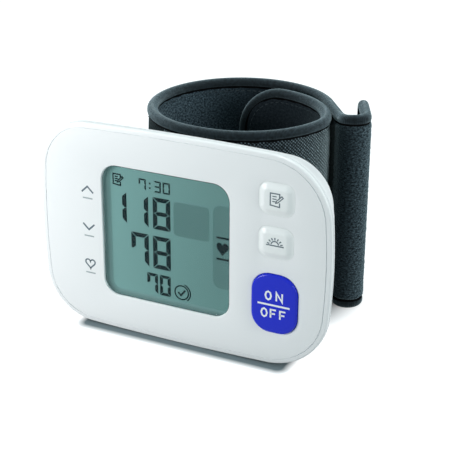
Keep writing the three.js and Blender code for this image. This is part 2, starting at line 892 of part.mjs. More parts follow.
// Cuff. The band's middle line is walked in plan from the front, right to the tongue and left to the flap.
function walk(start, heading, legs, turn) {
  const places = [{ ...start, heading }];
  for (const { radius, sweep, length, reverse } of legs) {
    const arc = radius ? THREE.MathUtils.degToRad(sweep) * radius : length;
    const steps = radius ? Math.ceil(sweep / stepAngle) : Math.ceil(length / stepLength);
    const side = reverse ? -turn : turn;
    const change = radius ? (side * THREE.MathUtils.degToRad(sweep)) / steps : 0;
    const chord = radius ? 2 * radius * Math.sin(Math.abs(change) / 2) : arc / steps;
    for (let i = 0; i < steps; i += 1) {
      const last = places[places.length - 1];
      const way = last.heading + change / 2;
      places.push({
        x: last.x + chord * Math.cos(way),
        y: last.y + chord * Math.sin(way),
        heading: last.heading + change,
      });
    }
  }
  return places;
}

const tongueWalk = walk({ x: frontX + frontFlat, y: frontY }, 0, tongueLegs, 1);
const leftWalk = walk({ x: frontX, y: frontY }, Math.PI, [leftBend], -1);
const strapWalk = walk(leftWalk[leftWalk.length - 1], leftWalk[leftWalk.length - 1].heading, strapLegs, -1);
const turnRound = (place) => ({ ...place, heading: place.heading + Math.PI });

// Distance along the line and the outward normal at each place, from the tongue's end to the flap's end
function measured(places) {
  let distance = 0;
  return places.map((place, i) => {
    if (i > 0) distance += Math.hypot(place.x - places[i - 1].x, place.y - places[i - 1].y);
    return { ...place, distance, nx: -Math.sin(place.heading), ny: Math.cos(place.heading) };
  });
}

const band = measured([...tongueWalk.map(turnRound).reverse(), ...leftWalk, ...strapWalk.slice(1)]);
const hingeIndex = tongueWalk.length + leftWalk.length - 1;
const hinge = band[hingeIndex].distance;
const bandEnd = band[band.length - 1].distance;
const frontIndex = tongueWalk.length;
const frontAlong = band[frontIndex].distance;

// A point of the band: distance along it, offset outwards and height
function onBand(distance, offset, height) {
  let i = 1;
  while (i < band.length - 1 && band[i].distance < distance) i += 1;
  const [a, b] = [band[i - 1], band[i]];
  const share = (distance - a.distance) / (b.distance - a.distance);
  const blend = (key) => a[key] + (b[key] - a[key]) * share;
  return at(blend("x") + offset * blend("nx"), blend("y") + offset * blend("ny"), height);
}

function placesBetween(from, to) {
  const inside = ({ distance }) => distance > from + stationGap && distance < to - stationGap;
  const inner = band.filter(inside).map(({ distance }) => distance);
  return [from, ...inner, to];
}

// How far a round corner draws the edge in, at a distance from the band's free end
function cornerInset(radius, distance) {
  if (distance >= radius) return 0;
  return radius - Math.sqrt(radius ** 2 - (radius - distance) ** 2);
}

function cornerStations(radius) {
  return Array.from({ length: cornerArcSteps + 1 }, (_, i) => {
    const angle = (Math.PI / 2) * (i / cornerArcSteps);
    return radius * (1 - Math.cos(angle));
  });
}

// One layer of the band; freeEnd says which end has the round corners
function layer({ from, to, offsets, margin, corner = 0, freeEnd = 0 }) {
  const end = freeEnd < 0 ? from : to;
  const stations = new Set(placesBetween(from, to));
  if (corner > 0) cornerStations(corner).forEach((step) => stations.add(end - freeEnd * step));
  const ordered = [...stations].sort((a, b) => a - b);
  const kept = ordered.filter((value, i) => i === 0 || value - ordered[i - 1] > stationGap);
  const rings = kept.map((distance) => {
    const inset = corner > 0 ? cornerInset(corner, Math.abs(distance - end)) : 0;
    const low = margin + inset;
    const high = cuffWidth - margin - inset;
    const [a, b] = offsets;
    return [
      onBand(distance, a, low),
      onBand(distance, b, low),
      onBand(distance, b, high),
      onBand(distance, a, high),
    ];
  });
  return loft(rings);
}

// Edge tape: up to the free end along the bottom, round it and back along the top
function binding(from, to, corner, freeEnd) {
  const start = freeEnd < 0 ? to : from;
  const end = freeEnd < 0 ? from : to;
  const turnStart = end - freeEnd * corner;
  const straight = placesBetween(Math.min(start, turnStart), Math.max(start, turnStart));
  if (freeEnd < 0) straight.reverse();
  const lower = straight.map((distance) => ({ distance, height: 0, inX: 0, inZ: 1 }));
  const turnPoint = (angle, centreHeight) => ({
    distance: end - freeEnd * corner * (1 - Math.cos(angle)),
    height: centreHeight + corner * Math.sin(angle),
    inX: -freeEnd * Math.cos(angle),
    inZ: -Math.sin(angle),
  });
  const quarter = Math.PI / 2;
  const shares = Array.from({ length: cornerArcSteps }, (_, i) => i / cornerArcSteps);
  const lowTurn = shares.map((share) => turnPoint(-quarter * share, corner)).reverse();
  const highTurn = shares.map((share) => turnPoint(quarter * share, cuffWidth - corner));
  const upper = [...straight].reverse().map((distance) => ({ distance, height: cuffWidth, inX: 0, inZ: -1 }));
  const half = cuffThickness / 2;
  const section = [
    [-half, bindingHeight],
    [half, bindingHeight],
    [half, bindingEdge],
    [half - bindingEdge, 0],
    [-half + bindingEdge, 0],
    [-half, bindingEdge],
  ];
  const rings = [...lower, ...lowTurn, ...highTurn, ...upper].map((spot) =>
    section.map(([offset, depth]) =>
      onBand(spot.distance + spot.inX * depth, offset, spot.height + spot.inZ * depth),
    ),
  );
  return loft(rings);
}

const clothMargin = bindingHeight + clothGap;
const fixedEnd = hinge - hingeGap / 2;
const strapStart = hinge + hingeGap / 2;
const curlerOuter = clothHalf - outerCloth - clothGap;
const bladderOuter = curlerOuter - curlerThickness - clothGap;
const innerOuter = bladderOuter - bladderThickness - clothGap;
const strapHalf = strapCloth + clothGap / 2;

const airWay = (radius, y0, y1) =>
  rod(radius, y0, y1, axisY, at(manifoldX, 0, unitMiddle + manifoldY), smallRoundSteps);

function cuffOuterCloth() {
  const sheet = layer({
    from: clothMargin,
    to: fixedEnd,
    offsets: [clothHalf - outerCloth, clothHalf],
    margin: clothMargin,
    corner: tongueCorner - clothMargin,
    freeEnd: -1,
  });
  return cut(sheet, airWay(nippleRadius + fit, 0, frontY + clothHalf));
}

function cuffCurler() {
  const sheet = layer({
    from: clothMargin + curlerEnd,
    to: fixedEnd,
    offsets: [curlerOuter - curlerThickness, curlerOuter],
    margin: clothMargin,
  });
  return cut(sheet, airWay(nippleRadius + fit, 0, frontY + clothHalf));
}

function cuffBladder() {
  return layer({
    from: bladderEnd,
    to: fixedEnd - bladderMargin,
    offsets: [bladderOuter - bladderThickness, bladderOuter],
    margin: clothMargin + bladderMargin,
  });
}

function cuffInnerCloth() {
  return layer({
    from: clothMargin,
    to: fixedEnd,
    offsets: [innerOuter - innerCloth, innerOuter],
    margin: clothMargin,
    corner: tongueCorner - clothMargin,
    freeEnd: -1,
  });
}

function strapLayer(offsets) {
  return layer({ from: strapStart, to: bandEnd - clothMargin, offsets, margin: clothMargin });
}

function strapHookPatch() {
  const top = -strapHalf - clothGap;
  return layer({
    from: bandEnd - clothMargin - hookLength,
    to: bandEnd - clothMargin,
    offsets: [top - hookThickness, top],
    margin: clothMargin,
  });
}

function cuffNipple() {
  const from = -innerFloor - nippleReach;
  const to = frontY - bladderOuter - fit;
  const profile = [
    [from, nippleBore],
    [from, nippleRadius],
    [to, nippleRadius],
    [to, nippleBore],
    [from, nippleBore],
  ];
  return turned(profile, axisY, at(manifoldX, 0, unitMiddle + manifoldY), smallRoundSteps);
}

// A block with a flat front for the housing and a hollowed back for the cuff
function cuffSaddle() {
  const face = unitDepth + seamGap;
  const low = unitMiddle - saddleHeight / 2;
  const high = unitMiddle + saddleHeight / 2;
  const middle = frontAlong - frontFlat / 2;
  const rings = placesBetween(middle - saddleHalfLength, middle + saddleHalfLength).map((distance) => {
    const back = onBand(distance, clothHalf + fit, 0);
    return [at(back.x, face, low), at(back.x, face, high), at(back.x, back.y, high), at(back.x, back.y, low)];
  });
  const pegFrom = face - seamGap - pegLength;
  const pegs = [-1, 1].map((end) => {
    const place = at(cuffMiddleX, 0, unitMiddle + end * pegY);
    return rod(pegRadius, pegFrom, face + overlap, axisY, place, smallRoundSteps);
  });
  return cut(join(loft(rings), ...pegs), airWay(nippleRadius + fit, 0, frontY));
}

// Scene graph: the housing is built face up and turned to look along -Y, the cuff is built standing
const housing = new THREE.Group();
housing.rotation.x = Math.PI / 2;
housing.position.z = unitMiddle;
const cuff = new THREE.Group();

function add(group, name, geometry, material) {
  const mesh = new THREE.Mesh(geometry, material);
  mesh.name = name;
  group.add(mesh);
}

add(housing, "front_cover", frontCover(), plastic(white));
add(housing, "rear_cover", rearCover(), plastic(shellWhite));
add(housing, "battery_cover", batteryCover(), plastic(shellWhite));
add(housing, "display_window", displayWindow(), clear(0xcfe0e2));
add(housing, "lcd_front_glass", glassPlate(glassTop, glassUp, glassThickness), clear(lcdTeal));
add(housing, "lcd_rear_glass", glassPlate(rearGlassTop, rearGlassUp, glassThickness), clear(lcdTeal));
add(housing, "lcd_reflector", glassPlate(reflectorTop, rearGlassUp, reflectorThickness), plastic(0x7ba09d));
add(housing, "lcd_holder", lcdHolder(), plastic(0x3a4a4c));
add(housing, "lcd_connector_strip", connectorStrip(), rubber(0x8c8f94));

const buttons = [
  ["start_stop", startButton, blue],
  ["memory", memoryButton, white],
  ["morning", morningButton, white],
];
for (const [name, button, color] of buttons) {
  add(housing, `${name}_button`, buttonCap(button), plastic(color));
  add(housing, `${name}_plunger`, switchPlunger(button), plastic(0x202020));
  add(housing, `${name}_switch`, switchBody(button), metal(0xb8bcc0));
}

const board = box(boardLeft, boardRight, boardBottom, boardTop, boardBack, boardFront);
add(housing, "main_board", board, plastic(0x1f6b3a));
const processor = chip(processorX, processorY, processorSize, processorSize, chipThickness);
const memory = chip(memoryChipX, processorY, memoryChipWidth, memoryChipHeight, chipThickness);
const crystal = chip(processorX, crystalY, crystalLength, crystalWidth, crystalThickness);
const position = chip(positionSensorX, processorY, positionSensorSize, positionSensorSize, chipThickness);
add(housing, "processor_chip", processor, plastic(chipBlack));
add(housing, "memory_chip", memory, plastic(chipBlack));
add(housing, "clock_crystal", crystal, metal(steel));
add(housing, "position_sensor", position, plastic(chipBlack));
const capacitor = boardRod(capacitorX, processorY, capacitorRadius, capacitorLength);
add(housing, "power_capacitor", capacitor, metal(steel));
add(housing, "buzzer", boardRod(buttonX, buzzerY, buzzerRadius, buzzerHeight), plastic(chipBlack));
add(housing, "pressure_sensor", pressureSensor(), plastic(milky));

const cells = [
  ["outer", outerCellX, 1],
  ["inner", innerCellX, -1],
];
for (const [name, x, end] of cells) {
  add(housing, `battery_cell_${name}`, batteryCell(x, end), metal(0x4a5a72));
  add(housing, `battery_contact_${name}`, batteryContact(x, end), metal(nickel));
  add(housing, `battery_spring_${name}`, batterySpring(x, -end), metal(nickel));
}

add(housing, "pump_motor", pumpMotor(), metal(0xb4b8bc));
add(housing, "pump_head", pumpHead(), plastic(0x2c2e32));
add(housing, "pump_crank", pumpCrank(), metal(steel));
add(housing, "exhaust_valve", exhaustValve(), metal(0x8e9298));
add(housing, "valve_plunger", valvePlunger(), metal(steel));
add(housing, "air_manifold", airManifold(), plastic(milky));
add(housing, "pump_tube", pumpTube(), rubber(silicone));
add(housing, "sensor_tube", sensorTube(), rubber(silicone));
add(housing, "valve_tube", valveTube(), rubber(silicone));
screwPlaces.forEach((place, i) => {
  add(housing, `housing_screw_${i + 1}`, housingScrew(place), metal(steel));
});

add(cuff, "cuff_saddle", cuffSaddle(), plastic(0x8b929a));
add(cuff, "cuff_nipple", cuffNipple(), plastic(milky));
add(cuff, "cuff_outer_cloth", cuffOuterCloth(), cloth(charcoal));
add(cuff, "cuff_curler", cuffCurler(), plastic(0xd4d8da));
add(cuff, "cuff_bladder", cuffBladder(), rubber(0x5a6066));
add(cuff, "cuff_inner_cloth", cuffInnerCloth(), cloth(lining));
add(cuff, "cuff_binding", binding(0, fixedEnd, tongueCorner, -1), cloth(tape));
add(cuff, "strap_outer_cloth", strapLayer([clothGap / 2, strapHalf]), cloth(charcoal));
add(cuff, "strap_lining", strapLayer([-strapHalf, -clothGap / 2]), cloth(lining));
add(cuff, "strap_binding", binding(strapStart, bandEnd, flapCorner, 1), cloth(tape));
add(cuff, "strap_hook_patch", strapHookPatch(), cloth(0x262b31));

// The footprint's centre: from the button tops to the back of the strap
const deepest = Math.max(...band.map(({ y, ny }) => y + (ny * cuffThickness) / 2));
const standing = new THREE.Group();
standing.position.y = (buttonProud - deepest) / 2;
standing.add(housing, cuff);
const part = new THREE.Group();
part.add(standing);

export default part;
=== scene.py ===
"""Looks of a wrist blood pressure monitor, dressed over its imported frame.

Lengths in the classes are millimetres. Pieces of the housing are laid out in the face's own frame: x to the
right, up along the face and depth behind it, from the middle of the face. Pieces of the cuff are laid out
along the middle line of the band: distance along it, offset outwards and height above the floor.
"""

import json
import logging
import math
from collections.abc import Callable, Iterable, Sequence
from dataclasses import dataclass, field, replace
from enum import Enum
from functools import cache
from itertools import pairwise

import bmesh
import bpy
from mathutils import Matrix, Vector, noise


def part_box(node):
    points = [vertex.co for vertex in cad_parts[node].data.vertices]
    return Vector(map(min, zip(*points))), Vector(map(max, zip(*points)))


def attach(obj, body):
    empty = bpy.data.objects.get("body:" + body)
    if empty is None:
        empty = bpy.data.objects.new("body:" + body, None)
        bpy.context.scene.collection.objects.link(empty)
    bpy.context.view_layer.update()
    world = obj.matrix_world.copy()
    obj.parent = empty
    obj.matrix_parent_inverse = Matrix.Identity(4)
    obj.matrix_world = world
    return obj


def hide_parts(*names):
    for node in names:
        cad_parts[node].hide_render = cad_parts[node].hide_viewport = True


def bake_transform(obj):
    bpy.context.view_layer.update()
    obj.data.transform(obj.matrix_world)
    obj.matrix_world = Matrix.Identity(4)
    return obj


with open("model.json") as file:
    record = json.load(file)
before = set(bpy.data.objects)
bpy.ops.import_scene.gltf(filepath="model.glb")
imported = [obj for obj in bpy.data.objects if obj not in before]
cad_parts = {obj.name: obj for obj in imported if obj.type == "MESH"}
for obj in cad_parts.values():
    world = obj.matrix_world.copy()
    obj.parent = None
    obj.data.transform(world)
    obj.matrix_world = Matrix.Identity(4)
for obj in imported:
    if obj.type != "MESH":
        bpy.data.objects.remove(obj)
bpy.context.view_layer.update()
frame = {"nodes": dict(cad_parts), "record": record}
LOG = logging.getLogger("wrist_monitor")
MM = 0.001
FULL_TURN = 360
BAND_MAP = "band"

Flat = tuple[float, float]
Triple = tuple[float, float, float]
Colour = Triple
Quad = tuple[float, float, float, float]
Piece = bpy.types.Object
Socket = bpy.types.NodeSocket
Sockets = bpy.types.bpy_prop_collection
Row = list[bmesh.types.BMVert]
Fed = Socket | float | Sequence[float]
Inputs = dict[str | int, Fed]

WHITE: Colour = (1.0, 1.0, 1.0)


def node_box(node: str) -> tuple[Vector, Vector]:
    """The lowest and highest corner of a CAD node, in millimetres."""
    low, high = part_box(node)
    return low / MM, high / MM


def mix(start: float, end: float, share: float) -> float:
    """The value a share of the way from start to end."""
    return start + (end - start) * share


def ease(share: float) -> float:
    """A share from 0 to 1, smoothed at both ends and held inside them."""
    held = min(1.0, max(0.0, share))
    return held * held * (3 - 2 * held)


def steps(count: int) -> list[float]:
    """Even shares from 0 to 1, with both ends."""
    return [i / count for i in range(count + 1)]


def quarter(start: Flat, end: Flat, count: int, flat_first: bool = True) -> list[Flat]:
    """Points of a quarter ellipse between two corners of its box.

    Args:
        start: The first point.
        end: The last point.
        count: How many steps the round has.
        flat_first: True to leave start along the first axis, False along the second.

    Returns:
        The points, with both ends.
    """
    points = []
    for share in steps(count):
        angle = share * math.pi / 2
        quick, slow = math.sin(angle), 1 - math.cos(angle)
        across, along = (quick, slow) if flat_first else (slow, quick)
        points.append((mix(start[0], end[0], across), mix(start[1], end[1], along)))
    return points


class Crease(Enum):
    """The turn between faces, in degrees, above which an edge stays sharp."""

    CASE = 32.0
    FACE = 38.0
    KEY = 40.0
    CLOTH = 50.0
    SOFT = 60.0


def add_object(name: str, data: bpy.types.ID) -> Piece:
    """Adds an object with its data to the scene."""
    made = bpy.data.objects.new(name, data)
    bpy.context.scene.collection.objects.link(made)
    return made


def add_mesh(name: str, mesh: bmesh.types.BMesh) -> Piece:
    """Moves a finished mesh into a new object of the scene."""
    data = bpy.data.meshes.new(name)
    mesh.to_mesh(data)
    mesh.free()
    return add_object(name, data)


def shade(piece: Piece, crease: Crease = Crease.CASE) -> None:
    """Makes a piece's faces smooth, with its sharp edges kept."""
    piece.data.polygons.foreach_set("use_smooth", [True] * len(piece.data.polygons))
    piece.data.set_sharp_from_angle(angle=math.radians(crease.value))
    piece.data.update()


class MeshMaker:
    """A mesh being put together from loops of points, in millimetres."""

    def __init__(self) -> None:
        """Starts with an empty mesh."""
        self.mesh = bmesh.new()
        self.map: dict[bmesh.types.BMVert, Flat] = {}

    def loop(self, points: Iterable[Vector], places: Iterable[Flat] = ()) -> Row:
        """Adds a row of points, with their places on the cloth's flat map where the piece has one."""
        made = [self.mesh.verts.new(Vector(point) * MM) for point in points]
        self.map.update(zip(made, places))
        return made

    def ring(self, points: Iterable[Flat], depth: float) -> Row:
        """Adds a flat outline of the housing at a depth behind the face."""
        return self.loop(FACE.at(x, up, depth) for x, up in points)

    def bridge(self, first: Row, second: Row) -> None:
        """Joins two closed rows of equal length with faces."""
        pairs = list(zip(first, second))
        for (a, b), (c, d) in pairwise(pairs + pairs[:1]):
            self.mesh.faces.new((a, c, d, b))

    def skin(self, rows: Sequence[Row]) -> None:
        """Joins each row to the next."""
        for first, second in pairwise(rows):
            self.bridge(first, second)

    def cap(self, row: Row) -> None:
        """Closes a row with one face."""
        self.mesh.faces.new(row)

    def close(self, rows: Sequence[Row]) -> None:
        """Joins each row to the next and closes both ends."""
        self.skin(rows)
        self.cap(rows[0])
        self.cap(rows[-1])

    def fill(self, *rows: Row) -> None:
        """Fills the flat space between an outer row and the rows of its holes."""
        edges = []
        for row in rows:
            for a, b in pairwise(row + row[:1]):
                edges.append(self.mesh.edges.get((a, b)) or self.mesh.edges.new((a, b)))
        bmesh.ops.triangle_fill(self.mesh, use_beauty=True, use_dissolve=False, edges=edges)

    def build(self, name: str, crease: Crease = Crease.CASE) -> Piece:
        """Makes the object, in the scene; the crease says which edges stay sharp."""
        bmesh.ops.recalc_face_normals(self.mesh, faces=self.mesh.faces[:])
        if self.map:
            layer = self.mesh.loops.layers.uv.new(BAND_MAP)
            for face in self.mesh.faces:
                for corner in face.loops:
                    corner[layer].uv = self.map[corner.vert]
        made = add_mesh(name, self.mesh)
        shade(made, crease)
        return made


class Cut(Enum):
    """How a tool solid changes a piece."""

    AWAY = "DIFFERENCE"
    WITHIN = "INTERSECT"
    ADD = "UNION"


def carve(piece: Piece, how: Cut, tools: Sequence[Piece]) -> None:
    """Cuts a piece with tool solids and removes the tools.

    Args:
        piece: What is cut.
        how: What the tools do to it.
        tools: The solids to cut with, in order.
    """
    for tool in tools:
        change = piece.modifiers.new("cut", "BOOLEAN")
        change.operation = how.value
        change.solver = "EXACT"
        change.object = tool
    seen = piece.evaluated_get(bpy.context.evaluated_depsgraph_get())
    data = bpy.data.meshes.new_from_object(seen)
    piece.modifiers.clear()
    piece.data = data
    for tool in tools:
        bpy.data.objects.remove(tool)


def dress(piece: Piece, *finishes: "Finish") -> Piece:
    """Gives a piece its materials."""
    piece.data.materials.clear()
    for finish in finishes:
        piece.data.materials.append(finish.material())
    return piece


class Graph:
    """A node tree being wired; the mix values are the numbers of the Mix node's sockets for colours."""

    mix_inputs = (6, 7)
    mix_output = 2

    def __init__(self, tree: bpy.types.NodeTree) -> None:
        """Starts with no nodes."""
        self.tree = tree
        self.tree.nodes.clear()

    def node(self, kind: str, inputs: Inputs | None = None, **settings: object) -> bpy.types.Node:
        """Adds a node.

        Args:
            kind: Its type, without the leading ShaderNode.
            inputs: Values or sockets for its inputs, by name or number.
            settings: Its own properties.

        Returns:
            The node.
        """
        made = self.tree.nodes.new(f"ShaderNode{kind}")
        for key, value in settings.items():
            setattr(made, key, value)
        self.fill(made.inputs, inputs or {})
        return made

    def feed(self, socket: Socket, value: Fed) -> None:
        """Sets a socket to a value, or links another socket to it."""
        if isinstance(value, Socket):
            self.tree.links.new(value, socket)
        else:
            socket.default_value = value

    def fill(self, inputs: Sockets, values: Inputs) -> None:
        """Sets or links several inputs of a node."""
        for key, value in values.items():
            self.feed(inputs[key], value)

    def math(self, operation: str, *values: Fed) -> Socket:
        """The result of a sum on one to three values."""
        return self.node("Math", dict(enumerate(values)), operation=operation).outputs[0]

    def vector(self, operation: str, *values: Fed) -> bpy.types.Node:
        """A sum on one to three vectors."""
        return self.node("VectorMath", dict(enumerate(values)), operation=operation)

    def parts(self, vector: Socket) -> Sockets:
        """A vector's x, y and z."""
        return self.node("SeparateXYZ", {0: vector}).outputs

    def span(self, value: Socket, low: float, high: float, start: float = 0.0, end: float = 1.0) -> Socket:
        """A value from start to end, mapped to low to high."""
        inputs = {"Value": value, "From Min": start, "From Max": end, "To Min": low, "To Max": high}
        return self.node("MapRange", inputs).outputs[0]

    def blend(self, share: Socket, first: Socket | Colour, second: Socket | Colour) -> Socket:
        """A colour between two, by a share."""
        made = self.node("Mix", data_type="RGBA")
        self.feed(made.inputs[0], share)
        for index, value in zip(self.mix_inputs, (first, second)):
            self.feed(made.inputs[index], (*value, 1.0) if isinstance(value, tuple) else value)
        return made.outputs[self.mix_output]

    def noise(self, scale: Fed, detail: float, vector: Socket) -> Socket:
        """A noise value; scale is in turns per unit of its vector."""
        return self.node("TexNoise", {"Scale": scale, "Detail": detail, "Vector": vector}).outputs[0]

    def bump(self, height: Socket, distance: float) -> Socket:
        """A normal from a height; distance is in millimetres."""
        return self.node("Bump", {"Strength": 1.0, "Distance": distance * MM, "Height": height}).outputs[0]

    def place(self) -> Socket:
        """The surface's place in the part's frame, in metres."""
        return self.node("TexCoord").outputs["Object"]

    def seen(self) -> Socket:
        """1 where the camera looks at the surface, straight or in gloss and glass, and 0 for other light."""
        path = self.node("LightPath").outputs
        direct = self.math("MAXIMUM", path["Is Camera Ray"], path["Is Glossy Ray"])
        return self.math("MAXIMUM", direct, path["Is Transmission Ray"])


class Effect:
    """A shader node group that several finishes share; its inputs are a place and a scale."""

    name: str

    def wire(self, graph: Graph, place: Socket, scale: Socket) -> Inputs:
        """Adds the group's nodes.

        Args:
            graph: The group's nodes.
            place: The surface's place.
            scale: The effect's scale.

        Returns:
            The group's outputs by name, all values.
        """
        raise NotImplementedError

    @cache
    def group(self) -> bpy.types.NodeTree:
        """The group, made once."""
        tree = bpy.data.node_groups.new(self.name, "ShaderNodeTree")
        graph = Graph(tree)
        for key, kind in (("Place", "Vector"), ("Scale", "Float")):
            tree.interface.new_socket(name=key, in_out="INPUT", socket_type=f"NodeSocket{kind}")
        outputs = self.wire(graph, *tree.nodes.new("NodeGroupInput").outputs[:2])
        for key in outputs:
            tree.interface.new_socket(name=key, in_out="OUTPUT", socket_type="NodeSocketFloat")
        graph.fill(tree.nodes.new("NodeGroupOutput").inputs, outputs)
        return tree

    def place(self, graph: Graph, place: Socket, scale: float) -> Sockets:
        """The outputs of the group, placed in a material at a scale."""
        return graph.node("Group", {"Place": place, "Scale": scale}, node_tree=self.group()).outputs


@dataclass(frozen=True)
class Grain(Effect):
    """Moulded surface: a fine grain, and a broad unevenness of about 25 mm."""

    name: str = "moulded_grain"
    fine_detail: float = 2.0
    broad: Flat = (40.0, 1.0)

    def wire(self, graph: Graph, place: Socket, scale: Socket) -> Inputs:
        """Adds both noises."""
        return {
            "Fine": graph.noise(scale, self.fine_detail, place),
            "Broad": graph.noise(*self.broad, place),
        }


@dataclass(frozen=True)
class Knit(Effect):
    """Knitted cloth: small loops in slanted rows, with uneven yarn."""

    name: str = "knit_loops"
    wander: float = 0.5
    wander_scale: float = 0.9
    wander_detail: float = 1.0
    slant: float = 45.0
    rows: Quad = (0.0, 1.0, -0.7, 1.0)
    loops: Quad = (0.15, 1.0, -0.8, 1.0)
    yarn: Flat = (1.3, 3.0)
    yarn_height: Quad = (0.75, 1.0, 0.3, 0.7)
    yarn_shade: Quad = (0.2, 1.0, 0.36, 0.66)

    def wire(self, graph: Graph, place: Socket, scale: Socket) -> Inputs:
        """Adds the rows, the loops and the yarn."""
        inputs = {"Vector": place, "Scale": self.wander_scale, "Detail": self.wander_detail}
        drift = graph.node("TexNoise", inputs).outputs["Color"]
        moved = graph.vector("MULTIPLY_ADD", drift, (self.wander,) * 3, place).outputs[0]
        turn = (0.0, 0.0, math.radians(self.slant))
        parts = graph.parts(graph.node("Mapping", {"Vector": moved, "Rotation": turn}).outputs[0])
        density = graph.math("DIVIDE", math.tau, scale)
        rows = graph.math("SINE", graph.math("MULTIPLY", parts[0], density))
        loops = graph.math("SINE", graph.math("MULTIPLY", parts[1], density))
        height = graph.math("MULTIPLY", graph.span(rows, *self.rows), graph.span(loops, *self.loops))
        uneven = graph.noise(*self.yarn, place)
        return {
            "Height": graph.math("MULTIPLY", height, graph.span(uneven, *self.yarn_height)),
            "Shade": graph.math("MULTIPLY", height, graph.span(uneven, *self.yarn_shade)),
        }


@dataclass(frozen=True)
class Nap(Effect):
    """Raised pile: tufts with dark gaps between them."""

    name: str = "raised_nap"
    tuft_detail: float = 3.0
    tufts: Quad = (0.0, 1.0, 0.34, 0.68)
    gap_density: float = 1.7
    gaps: Quad = (1.0, 0.45, 0.1, 0.7)

    def wire(self, graph: Graph, place: Socket, scale: Socket) -> Inputs:
        """Adds the tufts and the gaps."""
        density = graph.math("DIVIDE", 1.0, scale)
        tufts = graph.noise(density, self.tuft_detail, place)
        inputs = {"Vector": place, "Scale": graph.math("MULTIPLY", density, self.gap_density)}
        gaps = graph.node("TexVoronoi", inputs, voronoi_dimensions="2D").outputs["Distance"]
        pile = graph.math("MULTIPLY", graph.span(tufts, *self.tufts), graph.span(gaps, *self.gaps))
        return {"Height": pile, "Shade": pile}


@dataclass(frozen=True)
class Ribs(Effect):
    """Woven tape: fine ribs across its length."""

    name: str = "tape_ribs"
    swing: float = 0.5
    yarn: Flat = (0.9, 3.0)
    yarn_shade: Quad = (0.0, 1.0, 0.32, 0.68)

    def wire(self, graph: Graph, place: Socket, scale: Socket) -> Inputs:
        """Adds the ribs and the uneven yarn."""
        turns = graph.math("DIVIDE", graph.parts(place)[0], scale)
        wave = graph.math("SINE", graph.math("MULTIPLY", turns, math.tau))
        uneven = graph.noise(*self.yarn, place)
        return {
            "Height": graph.math("MULTIPLY_ADD", wave, self.swing, self.swing),
            "Shade": graph.span(uneven, *self.yarn_shade),
        }


GRAIN = Grain()


class Pattern(Enum):
    """The weaves of the cloths."""

    KNIT = Knit()
    NAP = Nap()
    RIBS = Ribs()


@dataclass(frozen=True)
class Finish:
    """A surface finish: its colour, how it shines and how fine its grain is."""

    name: str
    colour: Colour
    roughness: float = 0.5
    mirror: float = 0.5
    grain: float = 2500.0

    @cache
    def material(self) -> bpy.types.Material:
        """The finish as a material, made once."""
        made = bpy.data.materials.new(self.name)
        made.use_nodes = True
        graph = Graph(made.node_tree)
        shader = graph.node("BsdfPrincipled", {"Base Color": (*self.colour, 1.0)})
        graph.fill(shader.inputs, {"Roughness": self.roughness, "Specular IOR Level": self.mirror})
        graph.fill(shader.inputs, self.wire(graph))
        output = graph.node("OutputMaterial").inputs["Surface"]
        graph.feed(output, self.surface(graph, shader.outputs[0]))
        return made

    def wire(self, graph: Graph) -> Inputs:
        """Adds the finish's own nodes.

        Args:
            graph: The material's nodes.

        Returns:
            What the inputs of the Principled node are set or linked to.
        """
        raise NotImplementedError

    def surface(self, graph: Graph, shader: Socket) -> Socket:
        """The shader that the surface shows."""
        return shader

    def grained(self, graph: Graph) -> Sockets:
        """The finish's grain, fine and broad."""
        return GRAIN.place(graph, graph.place(), self.grain)

    def shades(self, dark: float, light: float) -> tuple[Colour, Colour]:
        """The finish's colour made darker and lighter by two factors."""
        return tuple(tuple(min(1.0, part * factor) for part in self.colour) for factor in (dark, light))

    def rough(self, graph: Graph, share: Socket, low: float, high: float) -> Socket:
        """The finish's roughness, lower and higher by two factors."""
        return graph.span(share, self.roughness * low, self.roughness * high)


@dataclass(frozen=True)
class Moulded(Finish):
    """Moulded plastic or rubber with a fine grain, and a little unevenness of colour and shine."""

    depth: float = 0.012
    uneven: float = 0.02
    gloss: float = 0.0
    gloss_roughness: float = 0.12
    shine: Flat = (0.9, 1.1)

    def wire(self, graph: Graph) -> Inputs:
        """Adds the grain and the unevenness."""
        grain = self.grained(graph)
        return {
            "Base Color": graph.blend(grain["Broad"], *self.shades(1 - self.uneven, 1 + self.uneven)),
            "Roughness": self.rough(graph, grain["Broad"], *self.shine),
            "Normal": graph.bump(grain["Fine"], self.depth),
            "Coat Weight": self.gloss,
            "Coat Roughness": self.gloss_roughness,
        }


@dataclass(frozen=True)
class Metal(Finish):
    """Plated or brushed metal."""

    grain: float = 900.0
    tone: Flat = (0.92, 1.05)
    shine: Flat = (0.8, 1.25)

    def wire(self, graph: Graph) -> Inputs:
        """Adds uneven shine."""
        fine = self.grained(graph)["Fine"]
        return {
            "Base Color": graph.blend(fine, *self.shades(*self.tone)),
            "Roughness": self.rough(graph, fine, *self.shine),
            "Metallic": 1.0,
        }


@dataclass(frozen=True)
class Clear(Finish):
    """A clear pane that bends light, and leaves shadows and soft light alone."""

    bend: float = 1.45
    glint: float = 0.06

    def wire(self, graph: Graph) -> Inputs:
        """Makes the pane clear, with a faint reflection."""
        return {
            "Transmission Weight": 1.0,
            "IOR": self.bend,
            "Specular Tint": (self.glint, self.glint, self.glint, 1.0),
        }

    def surface(self, graph: Graph, shader: Socket) -> Socket:
        """The pane, open to the lamps."""
        path = graph.node("LightPath").outputs
        passing = graph.math("MAXIMUM", path["Is Shadow Ray"], path["Is Diffuse Ray"])
        open_air = graph.node("BsdfTransparent", {"Color": (*self.colour, 1.0)}).outputs[0]
        return graph.node("MixShader", {0: passing, 1: shader, 2: open_air}).outputs[0]


